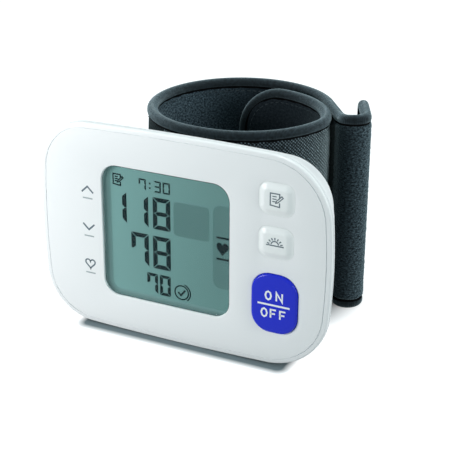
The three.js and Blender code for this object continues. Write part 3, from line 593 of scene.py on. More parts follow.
@dataclass(frozen=True)
class PaintedShadeFilm(Finish):
    """The display's film: a grey green with painted light and shade, lighter at the left and darker towards
    the right; left and right are in metres.
    """

    mirror: float = 0.05
    grain: float = 5000.0
    sparkle: Flat = (0.97, 1.03)
    # far: the film's darker colour at the right, painted shade.
    far: Colour = (0.155, 0.285, 0.275)
    left: float = -0.02
    right: float = 0.014

    def wire(self, graph: Graph) -> Inputs:
        """Adds the painted change of colour across the film, lighter at the left and darker at the right,
        and a fine sparkle.
        """
        grain = self.grained(graph)
        # painted light and shade: the colour runs from the lighter tone at the left to the darker far tone
        # at the right
        across = graph.span(graph.parts(graph.place())[0], 0.0, 1.0, self.left, self.right)
        near = graph.blend(grain["Fine"], *self.shades(*self.sparkle))
        return {"Base Color": graph.blend(across, near, self.far)}


@dataclass(frozen=True)
class PaintedShadeBezel(Finish):
    """The display's frame, with painted shade: darker at its outer edge and paling down to the film, and
    painted darker still along the foot.
    """

    mirror: float = 0.05
    grain: float = 3500.0
    depth: float = 0.008
    inner: Colour = (0.2, 0.34, 0.33)
    # foot: the colour of the painted shade along the lower slope.
    foot: Colour = (0.06, 0.11, 0.11)
    shade_foot_rise: float = 0.6
    outer_depth: float = 0.0
    inner_depth: float = 0.0

    def wire(self, graph: Graph) -> Inputs:
        """Adds the painted shade along the slope, whose depths are in metres, the painted shade along the
        foot, and a fine grain.
        """
        grain = self.grained(graph)
        share = graph.span(graph.parts(graph.place())[1], 0.0, 1.0, self.outer_depth, self.inner_depth)
        rising = graph.parts(graph.node("NewGeometry").outputs["Normal"])[2]
        low = graph.span(rising, 0.0, 1.0, 0.0, self.shade_foot_rise)
        # painted shade: the lower slope darkens towards its outer edge
        edge = graph.math("MULTIPLY", low, graph.math("SUBTRACT", 1.0, share))
        tone = graph.blend(share, self.colour, self.inner)
        return {
            "Base Color": graph.blend(edge, tone, self.foot),
            "Normal": graph.bump(grain["Fine"], self.depth),
        }


@dataclass(frozen=True)
class Ink(Finish):
    """Printed ink with slightly uneven cover."""

    grain: float = 6000.0
    cover: Flat = (0.9, 1.1)

    def wire(self, graph: Graph) -> Inputs:
        """Adds the unevenness."""
        fine = self.grained(graph)["Fine"]
        return {"Base Color": graph.blend(fine, *self.shades(*self.cover))}


@dataclass(frozen=True)
class Cloth(Finish):
    """Cloth with its weave at real size, on the band's flat map."""

    mirror: float = 0.05
    pattern: Pattern = Pattern.KNIT
    scale: float = 0.72
    light: Colour = (0.19, 0.26, 0.31)
    depth: float = 0.1
    sheen: float = 0.4
    sheen_roughness: float = 0.42
    sheen_tint: Colour = (0.75, 0.92, 0.96)
    # a stretch of the band over which the light yarn fades out: painted shade
    painted_shade_fade: Flat | None = None
    # painted sheen colour, blended into the base colour at grazing angles
    painted_sheen: Colour | None = None
    painted_sheen_power: float = 2.0
    painted_sheen_least: float = 0.35

    def wire(self, graph: Graph) -> Inputs:
        """Adds the weave's colour and height, the shader's soft sheen, and where set a painted sheen at
        grazing angles and painted shade along the band.
        """
        place = graph.node("UVMap", uv_map=BAND_MAP).outputs[0]
        weave = self.pattern.value.place(graph, place, self.scale)
        share = weave["Shade"]
        # painted shade: the cloth darkens along the band outside the given stretch
        if self.painted_shade_fade:
            along = graph.span(graph.parts(place)[0], 0.0, 1.0, *self.painted_shade_fade)
            share = graph.math("MULTIPLY", share, along)
        tone = graph.blend(share, self.colour, self.light)
        normal = graph.bump(weave["Height"], self.depth)
        # painted sheen: the base colour is lightened towards the painted sheen colour where the surface is
        # seen at a grazing angle
        if self.painted_sheen:
            facing = graph.node("LayerWeight", {"Normal": normal}).outputs["Facing"]
            painted_sheen_share = graph.math("POWER", facing, self.painted_sheen_power)
            painted_sheen_share = graph.math("MULTIPLY", painted_sheen_share, graph.span(share, self.painted_sheen_least, 1.0))
            tone = graph.blend(painted_sheen_share, tone, self.painted_sheen)
        return {
            "Base Color": tone,
            "Normal": normal,
            "Sheen Weight": self.sheen,
            "Sheen Roughness": self.sheen_roughness,
            "Sheen Tint": (*self.sheen_tint, 1.0),
        }


FACE_WHITE = Moulded(
    "face_white", (0.82, 0.85, 0.87), 0.34, grain=2600.0, depth=0.006, uneven=0.01, gloss=0.15
)
REAR_WHITE = Moulded("shell_white", (0.8, 0.83, 0.85), 0.42, grain=2200.0, depth=0.016, uneven=0.015)
KEY_WHITE = Moulded("key_white", (0.84, 0.88, 0.89), 0.32, grain=2600.0, depth=0.006, uneven=0.01)
KEY_BLUE = Moulded(
    "key_blue", (0.003, 0.018, 0.6), 0.3, 0.05, grain=2600.0, depth=0.006, uneven=0.04, gloss=0.4
)
WINDOW_CLEAR = Clear("pane_clear", (0.93, 0.97, 0.97), 0.02)
LCD_FILM = PaintedShadeFilm("lcd_film_painted_shade", (0.21, 0.37, 0.36), 0.42)
LCD_SLOPE_PAINTED_SHADE = PaintedShadeBezel("display_slope_painted_shade", (0.19, 0.29, 0.29))
LCD_DARK = Ink("lcd_dark", (0.002, 0.012, 0.015), 0.4, 0.05)
LCD_SHADE = Ink("lcd_shade", (0.118, 0.22, 0.215), 0.45, 0.05)
GREY_INK = Ink("grey_ink", (0.09, 0.13, 0.16))
PALE_INK = Ink("pale_ink", (0.3, 0.36, 0.38))
WHITE_INK = Ink("white_ink", (0.85, 0.88, 0.92), 0.45)
CUFF_CLOTH = Cloth(
    "charcoal_knit", (0.003, 0.0045, 0.006), 0.8, depth=0.12, sheen=0.3, painted_sheen=(0.75, 0.95, 1.0)
)
# the cuff's knit with much darker light yarn: painted shade for the strap, which lies in the crevice and
# round the flap
STRAP_CLOTH_PAINTED_SHADE = Cloth("strap_knit_painted_shade", (0.003, 0.0045, 0.006), 0.9, light=(0.03, 0.04, 0.047), sheen=0.3)
# one lining in two tones: the cuff's half painted darker as shade, the strap's half painted lighter as light
CUFF_LINING_PAINTED_SHADE = Cloth(
    "charcoal_lining_painted_shade", (0.01, 0.0145, 0.02), 0.95, pattern=Pattern.NAP, scale=0.7,
    light=(0.03, 0.041, 0.05), depth=0.06,
)
STRAP_LINING_PAINTED_LIGHT = Cloth(
    "brushed_lining_painted_light", (0.011, 0.018, 0.024), 0.95, pattern=Pattern.NAP, scale=0.6,
    light=(0.185, 0.27, 0.33), sheen=0.2,
)
BINDING_TAPE = Cloth(
    "edge_tape", (0.0075, 0.0105, 0.0125), 0.8, pattern=Pattern.RIBS, scale=0.42,
    light=(0.0145, 0.0215, 0.027), depth=0.04, painted_sheen=(0.215, 0.285, 0.33),
)
HOOK_NAP = Cloth(
    "hook_nap", (0.003, 0.0055, 0.008), 0.9, pattern=Pattern.NAP, scale=0.52,
    light=(0.1, 0.146, 0.175), depth=0.18, sheen=0.2, painted_sheen=(0.29, 0.4, 0.46),
)
SEAM_PAINTED_SHADE = Moulded("seam_painted_shade", (0.002, 0.0025, 0.003), 0.9, 0.05, grain=4000.0, depth=0.02, uneven=0.2)
STITCH_THREAD = Moulded(
    "stitch_thread", (0.05, 0.066, 0.075), 0.8, 0.1, grain=4000.0, depth=0.02, uneven=0.2
)

PLATED_STEEL = Metal("plated_steel", (0.62, 0.64, 0.66), 0.3)
SLOT_FINISHES: dict[str, Finish] = {
    "board_green": Moulded("green_board", (0.02, 0.16, 0.06), 0.35, grain=1500.0, depth=0.01, uneven=0.1),
    "black_plastic": Moulded("black_moulding", (0.02, 0.02, 0.023), depth=0.015, uneven=0.1),
    "milky_plastic": Moulded("milky_moulding", (0.68, 0.68, 0.64), 0.45, uneven=0.04),
    "silicone_tube": Moulded("silicone", (0.72, 0.7, 0.63), 0.6, uneven=0.05),
    "connector_rubber": Moulded("grey_rubber", (0.3, 0.31, 0.33), 0.7, depth=0.02, uneven=0.05),
    "saddle_grey": Moulded("cradle_grey", (0.2, 0.22, 0.24), grain=2200.0, depth=0.02, uneven=0.03),
    "cell_jacket": Metal("cell_sleeve", (0.06, 0.09, 0.16), 0.35),
    "steel": PLATED_STEEL,
    "spring_steel": PLATED_STEEL,
    "capacitor_can": PLATED_STEEL,
    "lcd_glass": LCD_FILM,
    "lcd_reflector": LCD_FILM,
}


@dataclass(frozen=True)
class FaceFrame:
    """Where the middle of the face is, in the part's frame."""

    front: float
    middle: float

    @classmethod
    def from_frame(cls) -> "FaceFrame":
        """The face's place, from the CAD covers."""
        rear = node_box("rear_cover")
        return cls(node_box("front_cover")[0].y, (rear[0].z + rear[1].z) / 2)

    def at(self, x: float, up: float, depth: float) -> Vector:
        """A point of the housing in the part's frame."""
        return Vector((x, self.front + depth, self.middle + up))


FACE = FaceFrame.from_frame()


def round_corner(x: float, up: float, radius: float, index: int, count: int) -> list[Flat]:
    """A quarter circle round a point, the first, second, third or fourth by its index."""
    turns = [math.pi / 2 * (index + share) for share in steps(count)]
    return [(x + radius * math.cos(turn), up + radius * math.sin(turn)) for turn in turns]


@dataclass(frozen=True)
class RoundRect:
    """A rectangle with round corners."""

    x: float
    up: float
    width: float
    height: float
    radius: float
    corner_steps: int = 10
    least_radius: float = 0.05

    @classmethod
    def over(cls, low: Vector, high: Vector, grow: Flat, *corner: float) -> "RoundRect":
        """A rectangle over a box of the part.

        Args:
            low: The box's lowest corner.
            high: The box's highest corner.
            grow: How much wider and higher the rectangle is.
            corner: The radius of its corners and, where it isn't the usual one, their count of steps.

        Returns:
            The rectangle.
        """
        middle, size = (low + high) / 2, high - low
        return cls(middle.x, middle.z - FACE.middle, size.x + grow[0], size.z + grow[1], *corner)

    def ring(self, grow: float = 0.0) -> list[Flat]:
        """Its outline, grown outwards."""
        radius = max(self.radius + grow, self.least_radius)
        across = self.width / 2 + grow - radius
        along = self.height / 2 + grow - radius
        points = []
        for index, (sx, sy) in enumerate(((1, 1), (-1, 1), (-1, -1), (1, -1))):
            x, up = self.x + sx * across, self.up + sy * along
            points += round_corner(x, up, radius, index, self.corner_steps)
        return points


def loft(name: str, shape: RoundRect, profile: Iterable[Flat], crease: Crease = Crease.CASE) -> Piece:
    """A closed solid whose outline changes with depth.

    Args:
        name: The piece's name.
        shape: Its outline.
        profile: How far the outline has grown, and how deep behind the face, at each step.
        crease: Which edges stay sharp.

    Returns:
        The solid.
    """
    maker = MeshMaker()
    maker.close([maker.ring(shape.ring(grow), depth) for grow, depth in profile])
    return maker.build(name, crease)


@dataclass(frozen=True)
class Outline:
    """The housing's outline: round corners, rounder at the right, and sides that swell a little."""

    half_width: float
    half_height: float
    left_corner: float = 15.6
    right_corner: float = 18.6
    side_swell: float = 0.5
    end_swell: float = 0.4
    corner_steps: int = 16
    side_steps: int = 10

    def ring(self, inset: float, left: float | None = None) -> list[Flat]:
        """The outline drawn in.

        Args:
            inset: How far it is drawn in.
            left: How far it is drawn in at the left end, where that differs.

        Returns:
            Its points, from the upper corner at the right round to the left.
        """
        left = inset if left is None else left
        x0 = -self.half_width + left + self.side_swell
        x1 = self.half_width - inset - self.side_swell
        y1 = self.half_height - inset - self.end_swell
        near, far = self.left_corner - max(inset, left), self.right_corner - inset
        ends = ((x1 - far, y1 - far, far), (x0 + near, y1 - near, near))
        rounds = [*ends, *((x, -y, radius) for x, y, radius in reversed(ends))]
        arcs = [round_corner(*turn, index, self.corner_steps) for index, turn in enumerate(rounds)]
        points: list[Flat] = []
        for index, arc in enumerate(arcs):
            swell = self.side_swell if index % 2 else self.end_swell
            points += arc
            points += self.side(arc[-1], arcs[(index + 1) % len(arcs)][0], swell)
        return points

    def side(self, start: Flat, end: Flat, swell: float) -> list[Flat]:
        """The inner points of a side that swells between two corners."""
        along = Vector(end) - Vector(start)
        out = Vector((along.y, -along.x)).normalized()
        points = []
        for share in steps(self.side_steps)[1:-1]:
            spot = Vector(start) + along * share + out * swell * (1 - (2 * share - 1) ** 2)
            points.append((spot.x, spot.y))
        return points


def seat(piece: Piece, body: str, slot: str, *nodes: str) -> Piece:
    """Makes a piece ride on a body and stand for CAD nodes.

    Args:
        piece: The piece.
        body: The body that it moves with.
        slot: The record's material slot; not used.
        nodes: The CAD nodes that it stands for.

    Returns:
        The piece.
    """
    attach(piece, body)
    if nodes:
        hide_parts(*nodes)
    return piece


@dataclass
class Housing:
    """The front cover, the rear cover and the battery cover."""

    outline: Outline
    depth: float
    holes: Sequence[tuple[RoundRect, float, float]]
    hole_steps: int = 4
    flat_inset: float = 6.0
    crown: float = 0.14
    crown_steps: int = 8
    groove_inset: float = 1.5
    groove_width: float = 0.24
    groove_depth: float = 0.24
    groove_slope: float = 0.04
    shoulder_start: float = 0.04
    shoulder_drop: float = 0.12
    seam_inset: float = 0.05
    seam_depth: float = 1.6
    seam_gap: float = 0.06
    seam_chamfer: Flat = (0.03, 0.05)
    edge_round: float = 0.55
    edge_steps: int = 8
    wall: float = 1.1
    lip: float = 0.9
    lip_depth: float = 1.0
    fit: float = 0.25
    rim_depth: float = 1.9
    rim_band: float = 0.05
    rim_steps: int = 5
    back_taper: float = 4.6
    battery_taper: float = 0.6
    taper_power: float = 1.12
    taper_turn: float = 0.35
    taper_steps: int = 4
    back_round: float = 1.2
    back_steps: int = 6
    back_floor: float = 1.4
    door_lap: float = 0.7
    door_ledge: float = 1.2
    door_corner: float = 0.6
    door_steps: int = 3
    screw_count: int = 4
    screw_clear: float = 0.25
    screw_head: float = 1.6
    screw_steps: int = 8
    well_sliver: float = 0.001
    wall_clear: float = 0.15
    wall_corner: float = 0.2
    wall_steps: int = 2
    ridge_width: float = 0.8
    ridge_height: float = 12.0
    ridge_rise: float = 0.4
    ridge_root: float = 0.3
    ridge_draw: float = 0.2
    ridge_pitch: float = 2.0
    ridge_shift: float = -1.0
    ridge_count: int = 3
    ridge_steps: int = 4
    ridge_sliver: float = 0.01

    def cover_profile(self) -> list[Flat]:
        """Inset and depth from the flat of the face out to the parting line and under the plate's edge."""
        inner = self.groove_inset + self.groove_width / 2
        outer = self.groove_inset - self.groove_width / 2
        floor = self.crown + self.groove_depth
        turn = self.crown + self.shoulder_drop
        tuck, foot = self.seam_chamfer
        lip_out = self.seam_inset + self.wall + self.fit
        lip_end = self.seam_depth + self.lip_depth
        return [
            *((mix(self.flat_inset, inner, out), self.crown * out**2) for out in steps(self.crown_steps)),
            (inner - self.groove_slope, floor),
            (outer + self.groove_slope, floor),
            (outer, self.crown + self.shoulder_start),
            *quarter(
                (self.seam_inset + self.edge_round, turn),
                (self.seam_inset, turn + self.edge_round),
                self.edge_steps,
            ),
            (self.seam_inset, self.seam_depth - foot),
            (self.seam_inset + tuck, self.seam_depth),
            (lip_out, self.seam_depth),
            (lip_out, lip_end),
            (lip_out + self.lip, lip_end),
            (lip_out + self.lip, self.seam_depth),
        ]

    def front(self) -> Piece:
        """The front cover, with its window and key openings."""
        maker = MeshMaker()
        rows = [maker.ring(self.outline.ring(inset), d) for inset, d in self.cover_profile()]
        maker.skin(rows)
        tops, bottoms = [], []
        for hole, gap, turn in self.holes:
            wall = [*quarter((gap + turn, 0.0), (gap, turn), self.hole_steps), (gap, self.seam_depth)]
            rings = [maker.ring(hole.ring(grow), d) for grow, d in wall]
            maker.skin(rings)
            tops.append(rings[0])
            bottoms.append(rings[-1])
        maker.fill(rows[0], *tops)
        maker.fill(rows[-1], *bottoms)
        return maker.build("front_shell", Crease.FACE)

    def rear_profile(self) -> list[Triple]:
        """Inset, left inset and depth of the rear cover's outside, from the parting line to the back."""
        start = (self.seam_inset, self.seam_depth + self.seam_gap)
        rim = [(inset, inset, d) for inset, d in quarter(start, (0.0, self.rim_depth), self.rim_steps)]
        taper_start = self.rim_depth + self.rim_band
        taper_end = self.depth - self.back_round
        sides = []
        for share in (self.taper_turn * step for step in steps(self.taper_steps)[1:]):
            drawn, d = share**self.taper_power, mix(taper_start, taper_end, share)
            sides.append((self.back_taper * drawn, self.battery_taper * drawn, d))
        sides.append((self.back_taper, self.battery_taper, taper_end))
        turn = quarter((0.0, 0.0), (self.back_round, self.back_round), self.back_steps, False)
        back = [(self.back_taper + grow, self.battery_taper + grow, taper_end + d) for grow, d in turn[1:]]
        return [*rim, (0.0, 0.0, taper_start), *sides, *back]

    def rows(self, maker: MeshMaker, profile: Iterable[Triple]) -> list[Row]:
        """The rows of a profile of inset, left inset and depth."""
        return [maker.ring(self.outline.ring(inset, left), d) for inset, left, d in profile]

    def rear(self) -> Piece:
        """The rear cover: a cup with the battery bay's opening, its wall and the screws' recesses."""
        maker = MeshMaker()
        outer = self.rows(maker, self.rear_profile())
        floor = self.depth - self.back_floor
        share = (floor - self.rim_depth) / (self.depth - self.rim_depth)
        seam = self.seam_inset + self.wall
        inner_profile = [
            (seam, seam, self.seam_depth + self.seam_gap),
            (self.wall, self.wall, self.rim_depth + self.rim_band),
            (self.back_taper * share + self.wall, self.battery_taper * share + self.wall, floor),
        ]
        inner = self.rows(maker, inner_profile)
        maker.skin(outer)
        maker.skin(inner)
        maker.bridge(outer[0], inner[0])
        maker.cap(outer[-1])
        maker.cap(inner[-1])
        shell = maker.build("rear_shell")
        carve(shell, Cut.AWAY, [*self.door_blocks(self.fit, floor - self.fit), *self.screw_wells()])
        carve(shell, Cut.ADD, [self.bay_wall()])
        shade(shell)
        return shell

    def bay_wall(self) -> Piece:
        """The wall between the battery bay and the board."""
        low, high = node_box("battery_cover")
        board = node_box("main_board")[0]
        low.x, high.x = high.x + self.fit, board.x - self.wall_clear
        shape = RoundRect.over(low, high, (0.0, 0.0), self.wall_corner, self.wall_steps)
        depths = (board.y - FACE.front, self.depth - self.back_floor / 2)
        return loft("wall_tool", shape, [(0.0, depth) for depth in depths])

    def door_blocks(self, grow: float, inner: float) -> list[Piece]:
        """Two blocks, one stepped in, of the battery cover's outline.

        Args:
            grow: How far they stand out past the CAD cover.
            inner: How deep the stepped block starts behind the face.

        Returns:
            The blocks, as tools.
        """
        low, high = node_box("battery_cover")
        low.x -= self.outline.half_width
        high.x += grow
        blocks = []
        for step, start in ((0.0, self.depth - self.door_lap - grow), (self.door_ledge, inner)):
            taller = (0.0, 2 * (grow - step))
            shape = RoundRect.over(low, high, taller, self.door_corner, self.door_steps)
            blocks.append(loft("door_tool", shape, [(0.0, start), (0.0, 2 * self.depth)]))
        return blocks

    def screw_wells(self) -> list[Piece]:
        """Round tools for the screws' recesses."""
        wells = []
        for index in range(self.screw_count):
            low, high = node_box(f"housing_screw_{index + 1}")
            wider = 2 * self.screw_clear
            radius = (high.x - low.x + wider) / 2 - self.well_sliver
            well = RoundRect.over(low, high, (wider, wider), radius, self.screw_steps)
            head = high.y - FACE.front - self.screw_head
            wells.append(loft("well_tool", well, [(0.0, head), (0.0, 2 * self.depth)]))
        return wells

    def door(self) -> Piece:
        """The battery cover, cut from the rear cover's outer form, with its grip ridges."""
        maker = MeshMaker()
        maker.close(self.rows(maker, self.rear_profile()))
        door = maker.build("battery_door")
        plate, tongue = self.door_blocks(0.0, self.depth - self.back_floor + self.fit / 2)
        carve(plate, Cut.ADD, [tongue])
        carve(door, Cut.WITHIN, [plate])
        carve(door, Cut.ADD, [self.ridge(index) for index in range(self.ridge_count)])
        shade(door)
        return door

    def ridge(self, index: int) -> Piece:
        """One rounded grip ridge on the battery cover."""
        low, high = node_box("battery_cover")
        place = (index - (self.ridge_count - 1) / 2) * self.ridge_pitch
        x = (low.x + high.x) / 2 + self.ridge_shift + place
        radius = self.ridge_width / 2 - self.ridge_sliver
        shape = RoundRect(x, 0.0, self.ridge_width, self.ridge_height, radius, self.ridge_steps)
        profile = [
            (0.0, self.depth - self.ridge_root),
            (0.0, self.depth + self.ridge_rise / 2),
            (-self.ridge_width * self.ridge_draw, self.depth + self.ridge_rise),
        ]
        return loft("ridge_tool", shape, profile)

    def build(self) -> list[Piece]:
        """Makes, dresses and seats the three covers."""
        return [
            seat(dress(self.front(), FACE_WHITE), "unit", "housing_white", "front_cover"),
            seat(dress(self.rear(), REAR_WHITE), "unit", "rear_white", "rear_cover"),
            seat(dress(self.door(), REAR_WHITE), "battery_door", "rear_white", "battery_cover"),
        ]


class Drawing:
    """Ink on a flat place: strokes and filled shapes, a few hundredths of a millimetre thick."""

    mitre = 0.35
    arc_step = 9
    arc_least = 6

    def __init__(
        self, place: Callable[[float, float, float], Vector], depth: float, thickness: float = 0.03
    ) -> None:
        """Starts an empty drawing.

        Args:
            place: Turns x, up and depth into a point of the part.
            depth: How deep behind the face the inked surface lies.
            thickness: How thick the ink is.
        """
        self.place = place
        self.depth = depth
        self.thickness = thickness
        self.mesh = bmesh.new()

    def spot(self, x: float, up: float) -> bmesh.types.BMVert:
        """A new point of the drawing."""
        return self.mesh.verts.new(self.place(x, up, self.depth) * MM)

    def shape(self, points: Iterable[Flat]) -> None:
        """A filled shape."""
        self.mesh.faces.new([self.spot(x, up) for x, up in points])

    def stroke(self, points: Iterable[Flat], width: float, closed: bool = False) -> None:
        """A line of even width.

        Args:
            points: The line's corners.
            width: Its width.
            closed: True to join the last corner to the first.
        """
        corners = [Vector(point) for point in points]
        count = len(corners)
        sides = []
        for index, corner in enumerate(corners):
            before = corners[index - 1] if closed or index > 0 else None
            after = corners[(index + 1) % count] if closed or index + 1 < count else None
            ways = [(corner - before).normalized()] if before else []
            ways += [(after - corner).normalized()] if after else []
            normals = [Vector((-way.y, way.x)) for way in ways]
            mean = sum(normals, Vector((0.0, 0.0))).normalized()
            reach = width / 2 / max(self.mitre, mean.dot(normals[0]))
            sides.append((self.spot(*(corner + mean * reach)), self.spot(*(corner - mean * reach))))
        for (a, b), (c, d) in pairwise(sides + sides[:1] if closed else sides):
            self.mesh.faces.new((a, b, d, c))

    def arc(self, x: float, up: float, radius: float, start: float, end: float, width: float) -> None:
        """A stroke along part of a circle, between two angles in degrees."""
        count = max(self.arc_least, round(abs(end - start) / self.arc_step))
        turn = [math.radians(mix(start, end, share)) for share in steps(count)]
        points = [(x + radius * math.cos(angle), up + radius * math.sin(angle)) for angle in turn]
        whole = abs(end - start) >= FULL_TURN
        self.stroke(points[:-1] if whole else points, width, whole)

    def build(self, name: str, finish: Finish) -> Piece:
        """Thickens the drawing into a piece, whose finish is its ink."""
        lift = self.place(0.0, 0.0, self.depth - self.thickness) - self.place(0.0, 0.0, self.depth)
        made = bmesh.ops.extrude_face_region(self.mesh, geom=self.mesh.faces[:], use_keep_orig=True)
        raised = [item for item in made["geom"] if isinstance(item, bmesh.types.BMVert)]
        bmesh.ops.translate(self.mesh, verts=raised, vec=lift * MM)
        bmesh.ops.recalc_face_normals(self.mesh, faces=self.mesh.faces[:])
        return dress(add_mesh(name, self.mesh), finish)


@dataclass(frozen=True)
class Bar:
    """A level stroke."""

    half: float
    line: float

    def draw(self, drawing: Drawing, x: float, up: float) -> None:
        """Draws it round its middle."""
        drawing.stroke([(x - self.half, up), (x + self.half, up)], self.line)


@dataclass(frozen=True)
class Heart:
    """The outline of a heart, as waves round its middle."""

    x: float
    up: float
    width: float
    tall: float = 1.0
    count: int = 40
    across: float = 16.0
    waves: tuple[float, ...] = (13.0, -5.0, -2.0, -1.0)
    lift: float = 2.5

    def points(self) -> list[Flat]:
        """The outline's points, stretched upwards by tall."""
        points = []
        unit = 2 * self.across
        for share in steps(self.count)[:-1]:
            angle = math.tau * share
            across = self.across * math.sin(angle) ** 3
            along = sum(wave * math.cos(index * angle) for index, wave in enumerate(self.waves, 1))
            rise = (along + self.lift) * self.tall * self.width / unit
            points.append((self.x + across * self.width / unit, self.up + rise))
        return points


@dataclass(frozen=True)
class Notepad:
    """A sheet with written lines and a pencil across its corner; places are shares of half its height."""

    size: float
    line: float
    page: tuple[Flat, ...] = (
        (0.5, 0.35), (0.5, 1.0), (-0.95, 1.0), (-0.95, -0.85), (0.5, -1.0), (0.5, -0.35)
    )
    rows: tuple[float, ...] = (0.55, 0.15, -0.25)
    row: Flat = (-0.63, 0.02)
    row_line: float = 0.9
    tip: Flat = (-0.1, -0.45)
    tail: Flat = (0.95, 0.6)
    pencil_side: float = 0.075
    pencil_neck: float = 0.16
    pencil_line: float = 0.85

    def draw(self, drawing: Drawing, x: float, up: float) -> None:
        """Draws it round a middle point."""
        half = self.size / 2
        drawing.stroke([(x + half * a, up + half * b) for a, b in self.page], self.line)
        for share in self.rows:
            row = [(x + half * end, up + half * share) for end in self.row]
            drawing.stroke(row, self.line * self.row_line)
        tip, tail = (Vector((x, up)) + Vector(end) * half for end in (self.tip, self.tail))
        way = (tail - tip).normalized()
        side = Vector((-way.y, way.x)) * self.size * self.pencil_side
        neck = tip + way * self.size * self.pencil_neck
        pencil = [tip, neck + side, tail + side, tail - side, neck - side]
        drawing.stroke(pencil, self.line * self.pencil_line, True)


@dataclass(frozen=True)
class Sunrise:
    """A half sun on a level line, with rays; lengths of the sun are shares of its radius."""

    width: float
    line: float
    sun: float = 0.21
    sun_lift: float = 0.6
    sun_arc: Flat = (8.0, 172.0)
    ray: Flat = (1.5, 2.15)
    ray_count: int = 7
    ray_first: float = 15.0
    ray_pitch: float = 25.0

    def draw(self, drawing: Drawing, x: float, up: float) -> None:
        """Draws it on the middle of its level line."""
        Bar(self.width / 2, self.line).draw(drawing, x, up)
        radius = self.width * self.sun
        drawing.arc(x, up + self.line * self.sun_lift, radius, *self.sun_arc, self.line)
        for index in range(self.ray_count):
            angle = math.radians(self.ray_first + self.ray_pitch * index)
            way = Vector((math.cos(angle), math.sin(angle)))
            drawing.stroke([Vector((x, up)) + way * radius * reach for reach in self.ray], self.line)


class Glyph(Enum):
    """Stroke paths of plain capital letters, in a box of one by one; the O is closed."""

    O = (
        (
            (0.5, 1.0), (0.16, 0.86), (0.0, 0.5), (0.16, 0.14),
            (0.5, 0.0), (0.84, 0.14), (1.0, 0.5), (0.84, 0.86),
        ),
    )
    N = (((0.0, 0.0), (0.0, 1.0), (1.0, 0.0), (1.0, 1.0)),)
    F = (((0.0, 0.0), (0.0, 1.0), (0.95, 1.0)), ((0.0, 0.52), (0.8, 0.52)))


@dataclass(frozen=True)
class Word:
    """Plain capital letters in a row, each a Glyph."""

    letters: str
    pitch: float
    height: float = 2.5
    line: float = 0.5
    slim: float = 0.68

    def draw(self, drawing: Drawing, x: float, up: float) -> None:
        """Draws the letters on the middle of their foot."""
        wide = self.height * self.slim
        start = x - (self.pitch * (len(self.letters) - 1) + wide) / 2
        for index, letter in enumerate(self.letters):
            left = start + self.pitch * index
            glyph = Glyph[letter]
            for path in glyph.value:
                points = [(left + a * wide, up + b * self.height) for a, b in path]
                drawing.stroke(points, self.line, glyph is Glyph.O)


@dataclass(frozen=True)
class Digits:
    """A row of seven-segment digits, set flush right; the segments' details are shares of their stroke."""

    text: str
    right: float
    low: float
    width: float
    height: float
    pitch: float
    stroke: float
    colon: float = 0.0
    gap: float = 0.06
    end_gaps: Flat = (1.5, 2.0)
    bar_end: float = 0.5
    bar_half: float = 0.44
    bar_slant: float = 0.92
    post_foot: Flat = (0.45, 0.5)
    dots: Flat = (0.3, 0.7)

    LIT = {"0": "abcdef", "1": "bc", "3": "abcdg", "7": "abcf", "8": "abcdefg"}

    def draw(self, drawing: Drawing) -> None:
        """Draws the digits."""
        left = self.right - self.width
        for letter in reversed(self.text):
            if letter == ":":
                self.draw_dots(drawing, left + self.pitch - self.colon / 2 - (self.pitch - self.width) / 2)
                left -= self.colon
                continue
            for name in self.LIT[letter]:
                drawing.shape([(left + x, self.low + y) for x, y in self.segment(name)])
            left -= self.pitch

    def draw_dots(self, drawing: Drawing, x: float) -> None:
        """The two dots between hours and minutes."""
        half = self.stroke / 2
        for share in self.dots:
            y = self.low + self.height * share
            corners = ((-1, -1), (1, -1), (1, 1), (-1, 1))
            drawing.shape([(x + half * across, y + half * along) for across, along in corners])

    def segment(self, name: str) -> list[Flat]:
        """The outline of one of the segments a to g, from the digit's lower left corner."""
        w, h, t = self.width, self.height, self.stroke
        gap = t * self.gap
        middle = h / 2
        if name == "g":
            left, half = t * self.bar_end + gap, t * self.bar_half
            upper = [(left, middle), (left + half, middle + half), (w - left - half, middle + half)]
            return upper + [(w - x, h - y) for x, y in upper]
        bar_gap, post_gap = (gap * share for share in self.end_gaps)
        if name in "ad":
            foot = h - t * self.bar_slant
            points = [(bar_gap, h), (w - bar_gap, h), (w - t - gap, foot), (t + gap, foot)]
            return points if name == "a" else [(x, h - y) for x, y in reversed(points)]
        low = middle + gap
        across, along = (t * share for share in self.post_foot)
        points = [(0, h - post_gap), (0, low), (across, low), (t, low + along), (t, h - t - gap)]
        if name in "bc":
            points = [(w - x, y) for x, y in points]
        if name in "ce":
            points = [(x, h - y) for x, y in points]
        return points


